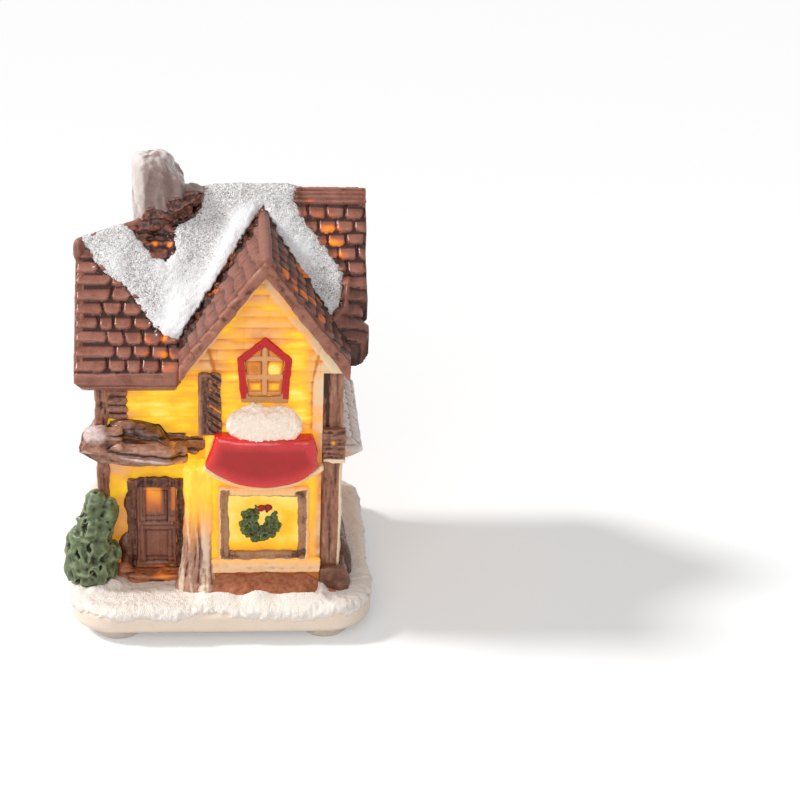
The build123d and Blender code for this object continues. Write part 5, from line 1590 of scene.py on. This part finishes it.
dressed(
    "door_surround", ["door_frame"], door_brown, "timber_brown", along("z", 0.9, 212, 0.35), voxel=0.2, wobble=0.45,
    lump=2.2, rounds=6, depth=0.24, shade=lambda p: np.full(len(p), -0.4),
    balls=[((-13.2, -14.9, 29.2), (4.6, 0.6, 0.9)), ((-18.8, -14.9, 24.0), (0.8, 0.6, 3.2)), ((-19.4, -15.2, 13.0), (1.5, 0.9, 4.6))],
)
dressed(
    "door_panels", ["door_leaf"], door_brown, "timber_brown", along("z", 0.9, 214, 0.1), glow=door_glow, voxel=0.15,
    wobble=0.15, rounds=3, depth=0.1, shade=lambda p: -0.42 * door_lines(p),
)
dressed("door_knob_round", ["door_knob"], door_brown, "timber_brown", voxel=0.1, rounds=1, wobble=0.02)
dressed(
    "door_step_block", ["door_step"], rust_brown, "timber_brown", along("x", 0.9, 216, 0.45), wobble=0.5, lump=2.4, rounds=8,
    glow=step_glow, balls=[((-19.8, -16.0, 8.8), (2.2, 1.9, 2.6)), ((-8.2, -17.6, 8.2), (1.8, 1.8, 1.2))],
)

# %% [markdown]
# The sill and the strip under the shop window, and the footing on the right, are soft ledges of clay.

# %% Ledges
STRIP_MIDDLE, STRIP_HALF = 8.2, 11.5


def bank_relief(points, out):
    """Soft bank that thins out at both ends."""
    x, y, z = points.T
    ends = ramp(np.abs(x - STRIP_MIDDLE), STRIP_HALF - 4.0, STRIP_HALF + 1.0)
    move = grains(0.7, 0.3, 222)(points, out)
    move[:, 2] -= 1.8 * ends * ramp(z, 8.0, 11.0)
    move[:, 1] += 1.6 * ends * ramp(y, -23.0, -26.0)
    return move


dressed(
    "bay_sill_band", ["bay_sill"], trim_cream, "lit_wall", along("x", 1.4, 220, 0.3), wobble=0.3, lump=2.2, rounds=6,
    glow=lambda p: 0.3 + 0.3 * ramp(p[:, 2], 14.2, 15.2) + 0.15 * noise(p * np.array([0.3, 1, 1]), 3, 221),
    shade=lambda p: 0.1 - 0.2 * rough(p * np.array([0.2, 1, 1]), 1.2, 223),
)
dressed(
    "bay_strip_bank", ["bay_strip"], strip_brown, "timber_brown", bank_relief, wobble=0.5, lump=2.4, rounds=6, depth=0.3,
    balls=[((-3.6, -23.4, 8.4), (2.6, 1.8, 2.0)), ((20.4, -23.4, 8.2), (2.4, 1.6, 1.8))],
)
def footing_relief(points, out):
    """Upright strokes on a bank that ends in the base."""
    move = along("z", 1.4, 224, 0.35)(points, out)
    move[:, 2] = np.maximum(move[:, 2], FLOOR_Z - 0.3 - points[:, 2])
    return move


dressed(
    "side_footing_bank", ["side_footing"], timber_brown, "timber_brown", footing_relief, wobble=0.4, lump=2.4, rounds=8, depth=0.3,
    shade=lambda p: np.full(len(p), -0.55),
    balls=[((23.9, -5.0, 7.6), (2.1, 17.0, 6.4)), ((24.2, -13.6, 8.6), (2.5, 5.0, 6.4))],
)

# %% [markdown]
# The shrub is a lumpy cone with dark hollows between its tufts. Scattered seeds give each tuft its own round top,
# and the glaze's wash with painted shade darkens the gaps and pits, while painted highlight lightens the crests.

# %% Shrub
SHRUB = [
    ((-26.4, -18.2, 11.8), (5.0, 4.6, 5.2)), ((-26.6, -18.2, 16.0), (4.6, 4.2, 5.0)), ((-25.4, -18.2, 20.4), (3.6, 3.4, 4.6)),
    ((-25.2, -18.4, 25.0), (2.2, 2.2, 3.4)), ((-22.6, -18.2, 23.2), (1.8, 1.9, 3.4)), ((-22.8, -18.2, 14.0), (2.2, 2.4, 3.4)),
]


def pits(points):
    """1 in the diamond-shaped hollows between the leaves, which are of many sizes."""
    drawn = points + 0.45 * np.stack([noise(points, 1.2, 236 + k) for k in range(3)], axis=1)
    gap, which = knobs(drawn * np.array([1.0, 1.0, 0.7]), 2.3, 230, 1)
    size = 0.1 + 0.6 * which
    return ramp(gap, size, 0.45 * size)


def tufts(points, out):
    """Leaf edges that stand up as sharp crests, and pits between them."""
    crest = 1 - 2 * np.abs(noise(points * np.array([1.0, 1.0, 0.7]), 1.5, 231))
    leaf = 0.42 * crest + 0.5 * rough(points, 2.4, 233)
    return out * (leaf - 0.95 * pits(points))[:, None]


def shrub_piece():
    """Leafy cone with two tips."""
    points, faces = cast([], 0.22, 4, 0.45, 3.2, 232, SHRUB)
    pit = pits(points)
    points = points + tufts(points, outward(points, faces))
    points[:, 2] = np.maximum(points[:, 2], FLOOR_Z + 0.1)
    # Painted shade in the pits and hollows and painted highlight on the crests, over the glaze's wash and wear.
    shade = 1.3 * cavity(points, faces, 6, 0.14) - 0.9 * pit
    return piece("shrub_tufts", points, faces, shrub_green, ["shrub"], "green_glaze", cavity=np.clip(shade, -1, 1), glow=0.0)


shrub_piece()

# %% [markdown]
# The base is a smooth cream slab, kept from the frame. Coarse snow lies on its top, follows the rounded edge and
# ends there in a ragged rim. The sheet leaves the house out, so it is a ring with its own underside.

# %% Base and its snow
BASE_X, BASE_Y, BASE_TOP, BASE_CORNER, BASE_EDGE = 30.3, 30.0, 7.3, 9.5, 1.9
DRAPE = 4.6


def base_inside(x, y):
    """Distance inside the outline of the base, and the outward direction there."""
    over = np.stack([np.abs(x) - (BASE_X - BASE_CORNER), np.abs(y) - (BASE_Y - BASE_CORNER)])
    reach = np.maximum(over, 0)
    inner = np.minimum(np.max(over, axis=0), 0)
    wide = over[0] > over[1]
    side = np.where(inner < 0, np.stack([wide, ~wide]), reach / np.maximum(np.hypot(*reach), 1e-9))
    return BASE_CORNER - np.hypot(*reach) - inner, side * np.stack([np.sign(x), np.sign(y)])


def base_bed(x, y):
    """Place and outward direction on the base's skin: flat top, round edge, then down its side."""
    deep, side = base_inside(x, y)
    past = np.maximum(BASE_EDGE - deep, 0)
    turn = np.minimum(past / BASE_EDGE, math.pi / 2)
    down = np.maximum(past - BASE_EDGE * math.pi / 2, 0)
    shift = BASE_EDGE * np.sin(turn) - past
    at = np.stack([x + side[0] * shift, y + side[1] * shift, BASE_TOP - BASE_EDGE * (1 - np.cos(turn)) - down], axis=-1)
    out = np.stack([side[0] * np.sin(turn), side[1] * np.sin(turn), np.cos(turn)], axis=-1)
    return at, out, past


def ground_sheet():
    """Snow round the house with its point values."""
    reach = BASE_X - BASE_EDGE + DRAPE
    x, y = np.meshgrid(np.linspace(-reach, reach, 280), np.linspace(-reach, reach, 280), indexing="ij")
    flat = np.stack([x.ravel(), y.ravel()], axis=1)

    def field(values):
        return values.reshape(x.shape)

    at, out, past = base_bed(x, y)
    rag = 2.7 - past + 1.2 * field(rough(flat, 5.0, 240)) + 0.9 * field(rough(flat, 1.2, 241))
    house = np.minimum(HOUSE_X - np.abs(x), np.minimum(y - HOUSE_FRONT, HOUSE_BACK - y))
    bay = np.minimum(np.minimum(x - BAY_LEFT, BAY_RIGHT - x), np.minimum(y - BAY_FRONT, HOUSE_BACK - y))
    within = np.maximum(house, bay)
    strip = np.maximum(np.abs(x - STRIP_MIDDLE) - STRIP_HALF, np.abs(y + 24.0) - 2.0)
    grain_height = 0.3 * field(rough(flat, 3.4, 243)) + 0.17 * field(rough(flat, 0.6, 245, 2))
    thick = 0.85 * np.sqrt(ramp(rag, 0, 1.8)) + grain_height * ramp(rag, 0.1, 1.0)
    bank = 0.7 * np.exp(-((np.maximum(-within, 0) / 1.6) ** 2)) + 0.9 * np.exp(-((np.abs(strip - 0.3) / 1.0) ** 2))
    shrub_foot = np.hypot((x + 26.2) / 5.2, (y + 18.2) / 4.8)
    bank = bank + 1.1 * np.exp(-(((shrub_foot - 0.95) / 0.3) ** 2)) * (1 + 0.5 * field(noise(flat, 1.6, 247)))
    drift = 1.7 * np.exp(-(((y + 26.6) / 1.1) ** 2)) * ramp(np.abs(x - STRIP_MIDDLE), STRIP_HALF + 2.0, STRIP_HALF - 1.0)
    bank = bank + drift * np.clip(0.45 + 0.4 * field(noise(flat * np.array([1.0, 0.3]), 3.6, 249)), 0, 1)
    top = at + out * np.maximum(thick + bank * ramp(past, 2.0, 0.0), 0.06)[..., None]
    points, faces, spots = slab(top, at - 0.1 * out, cells(rag > 0, within < 0.7), True)
    return points, faces, np.clip(0.6 + 0.3 * rough(flat, 5, 248), 0, 1)[spots]


ground_points, ground_faces, ground_packed = ground_sheet()
piece("ground_snow_sheet", ground_points, ground_faces, ground_snow, ["base_snow"], "snow", packed=ground_packed)


def carried(names, finish):
    """Frame nodes that stay as they are and only take a finish."""
    for name in names:
        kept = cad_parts[name]
        kept.data.materials.clear()
        kept.data.materials.append(finish)


carried(["base_plinth"], base_cream)

# %% [markdown]
# Underneath are four clear rubber bumpers and the light unit with its cell, switch and lamp. They are plain bought
# parts, so the frame's own shapes stay and only get moulded, brushed or clear finishes.

# %% Feet and light unit


def moulded(name, first, second, rough_range, scale, metallic=0.0, clear=0.0, glow=0.0):
    """Bought part: two near tones and an uneven gloss."""
    made, tree, shader = material(name)
    speck = grain(tree, scale, 3.0)
    wire(tree, blend(tree, spread(tree, speck, 0.35, 0.65), tone(*first), tone(*second)), shader.inputs["Base Color"])
    wire(tree, spread(tree, speck, 0.3, 0.7, *rough_range), shader.inputs["Roughness"])
    shader.inputs["Metallic"].default_value = metallic
    shader.inputs["Transmission Weight"].default_value = clear
    shader.inputs["Emission Color"].default_value = tone(255, 190, 80)
    shader.inputs["Emission Strength"].default_value = glow
    bumped(tree, shader, speck, 0.15, 0.0001)
    return made


FEET = ["foot_front_left", "foot_front_right", "foot_back_left", "foot_back_right"]
carried(FEET, moulded("foot_rubber", (238, 220, 202), (246, 232, 216), (0.3, 0.45), 700.0, clear=0.5))
white_plastic = moulded("white_plastic", (226, 225, 221), (236, 235, 232), (0.4, 0.55), 1600.0)
carried(["light_unit_housing", "battery_cover"], white_plastic)
carried(["switch_slider"], moulded("black_plastic", (26, 26, 27), (38, 38, 39), (0.35, 0.5), 1600.0))
cell_steel = moulded("cell_steel", (186, 187, 190), (206, 206, 208), (0.22, 0.38), 2400.0, 1.0)
carried(["coin_cell", "switch_body"], cell_steel)
brass = moulded("contact_brass", (206, 170, 98), (222, 190, 120), (0.25, 0.4), 2400.0, 1.0)
carried(["positive_contact", "negative_contact"], brass)
carried(["circuit_board"], moulded("board_green", (24, 96, 56), (30, 110, 64), (0.3, 0.45), 1800.0))
carried(["led_lamp"], moulded("lamp_amber", (250, 206, 128), (252, 216, 146), (0.12, 0.2), 900.0, 0.0, 0.5, 2.0))
print("feet and light unit dressed")

# %% [markdown]
# The house stands on a white table in even studio light. A low sun from the left throws the long soft shadow. The
# table glows a little for the camera only, so it reads as white while its shadow stays.

# %% Floor and light


def background_rays(tree):
    """1 for what the camera sees, directly, in a mirror image or through something clear."""
    path = node(tree, "ShaderNodeLightPath")
    seen = sums(tree, "MAXIMUM", path.outputs["Is Camera Ray"], path.outputs["Is Transmission Ray"])
    return sums(tree, "MAXIMUM", seen, path.outputs["Is Glossy Ray"])


def make_floor():
    """White table top."""
    mesh = bpy.data.meshes.new("floor")
    mesh.from_pydata([(-3, -3, 0), (3, -3, 0), (3, 3, 0), (-3, 3, 0)], [], [(0, 1, 2, 3)])
    made = bpy.data.materials.new("floor_white")
    made.use_nodes = True
    tree = made.node_tree
    shader = tree.nodes["Principled BSDF"]
    shader.inputs["Base Color"].default_value = (0.70, 0.70, 0.70, 1)
    shader.inputs["Roughness"].default_value = 0.9
    shader.inputs["Specular IOR Level"].default_value = 0.0
    shader.inputs["Emission Strength"].default_value = 1.0
    wire(tree, blend(tree, background_rays(tree), (0, 0, 0, 1), (0.272, 0.272, 0.272, 1)), shader.inputs["Emission Color"])
    mesh.materials.append(made)
    floor = bpy.data.objects.new("floor", mesh)
    scene.collection.objects.link(floor)


def make_world(soft):
    """White studio for the camera and in mirror images, dimmer for the light it gives."""
    world = bpy.data.worlds.new("studio")
    world.use_nodes = True
    tree = world.node_tree
    level = spread(tree, background_rays(tree), 0.0, 1.0, soft, 1.0)
    wire(tree, level, tree.nodes["Background"].inputs["Strength"])
    tree.nodes["Background"].inputs["Color"].default_value = (1, 1, 1, 1)
    scene.world = world


def lamp(name, kind, towards, strength, **settings):
    """Lamp at the house's middle or off it, looking along a direction."""
    made = bpy.data.lights.new(name, kind)
    made.energy = strength
    away = settings.pop("away", 1.0)
    for key, value in settings.items():
        setattr(made, key, value)
    towards = Vector(towards).normalized()
    holder = bpy.data.objects.new(name, made)
    holder.location = Vector((0, 0, 0.045)) - away * towards
    holder.rotation_euler = towards.to_track_quat("-Z", "Y").to_euler()
    scene.collection.objects.link(holder)


make_floor()
make_world(0.41)
SUN_RISE = math.radians(43)
lamp("sun_left", "SUN", (math.cos(SUN_RISE), -0.06, -math.sin(SUN_RISE)), 2.55, angle=math.radians(9))
lamp("soft_front", "AREA", (0.25, 1.0, -0.55), 2.1, away=0.75, shape="DISK", size=0.6)
print("floor, world and two lamps")
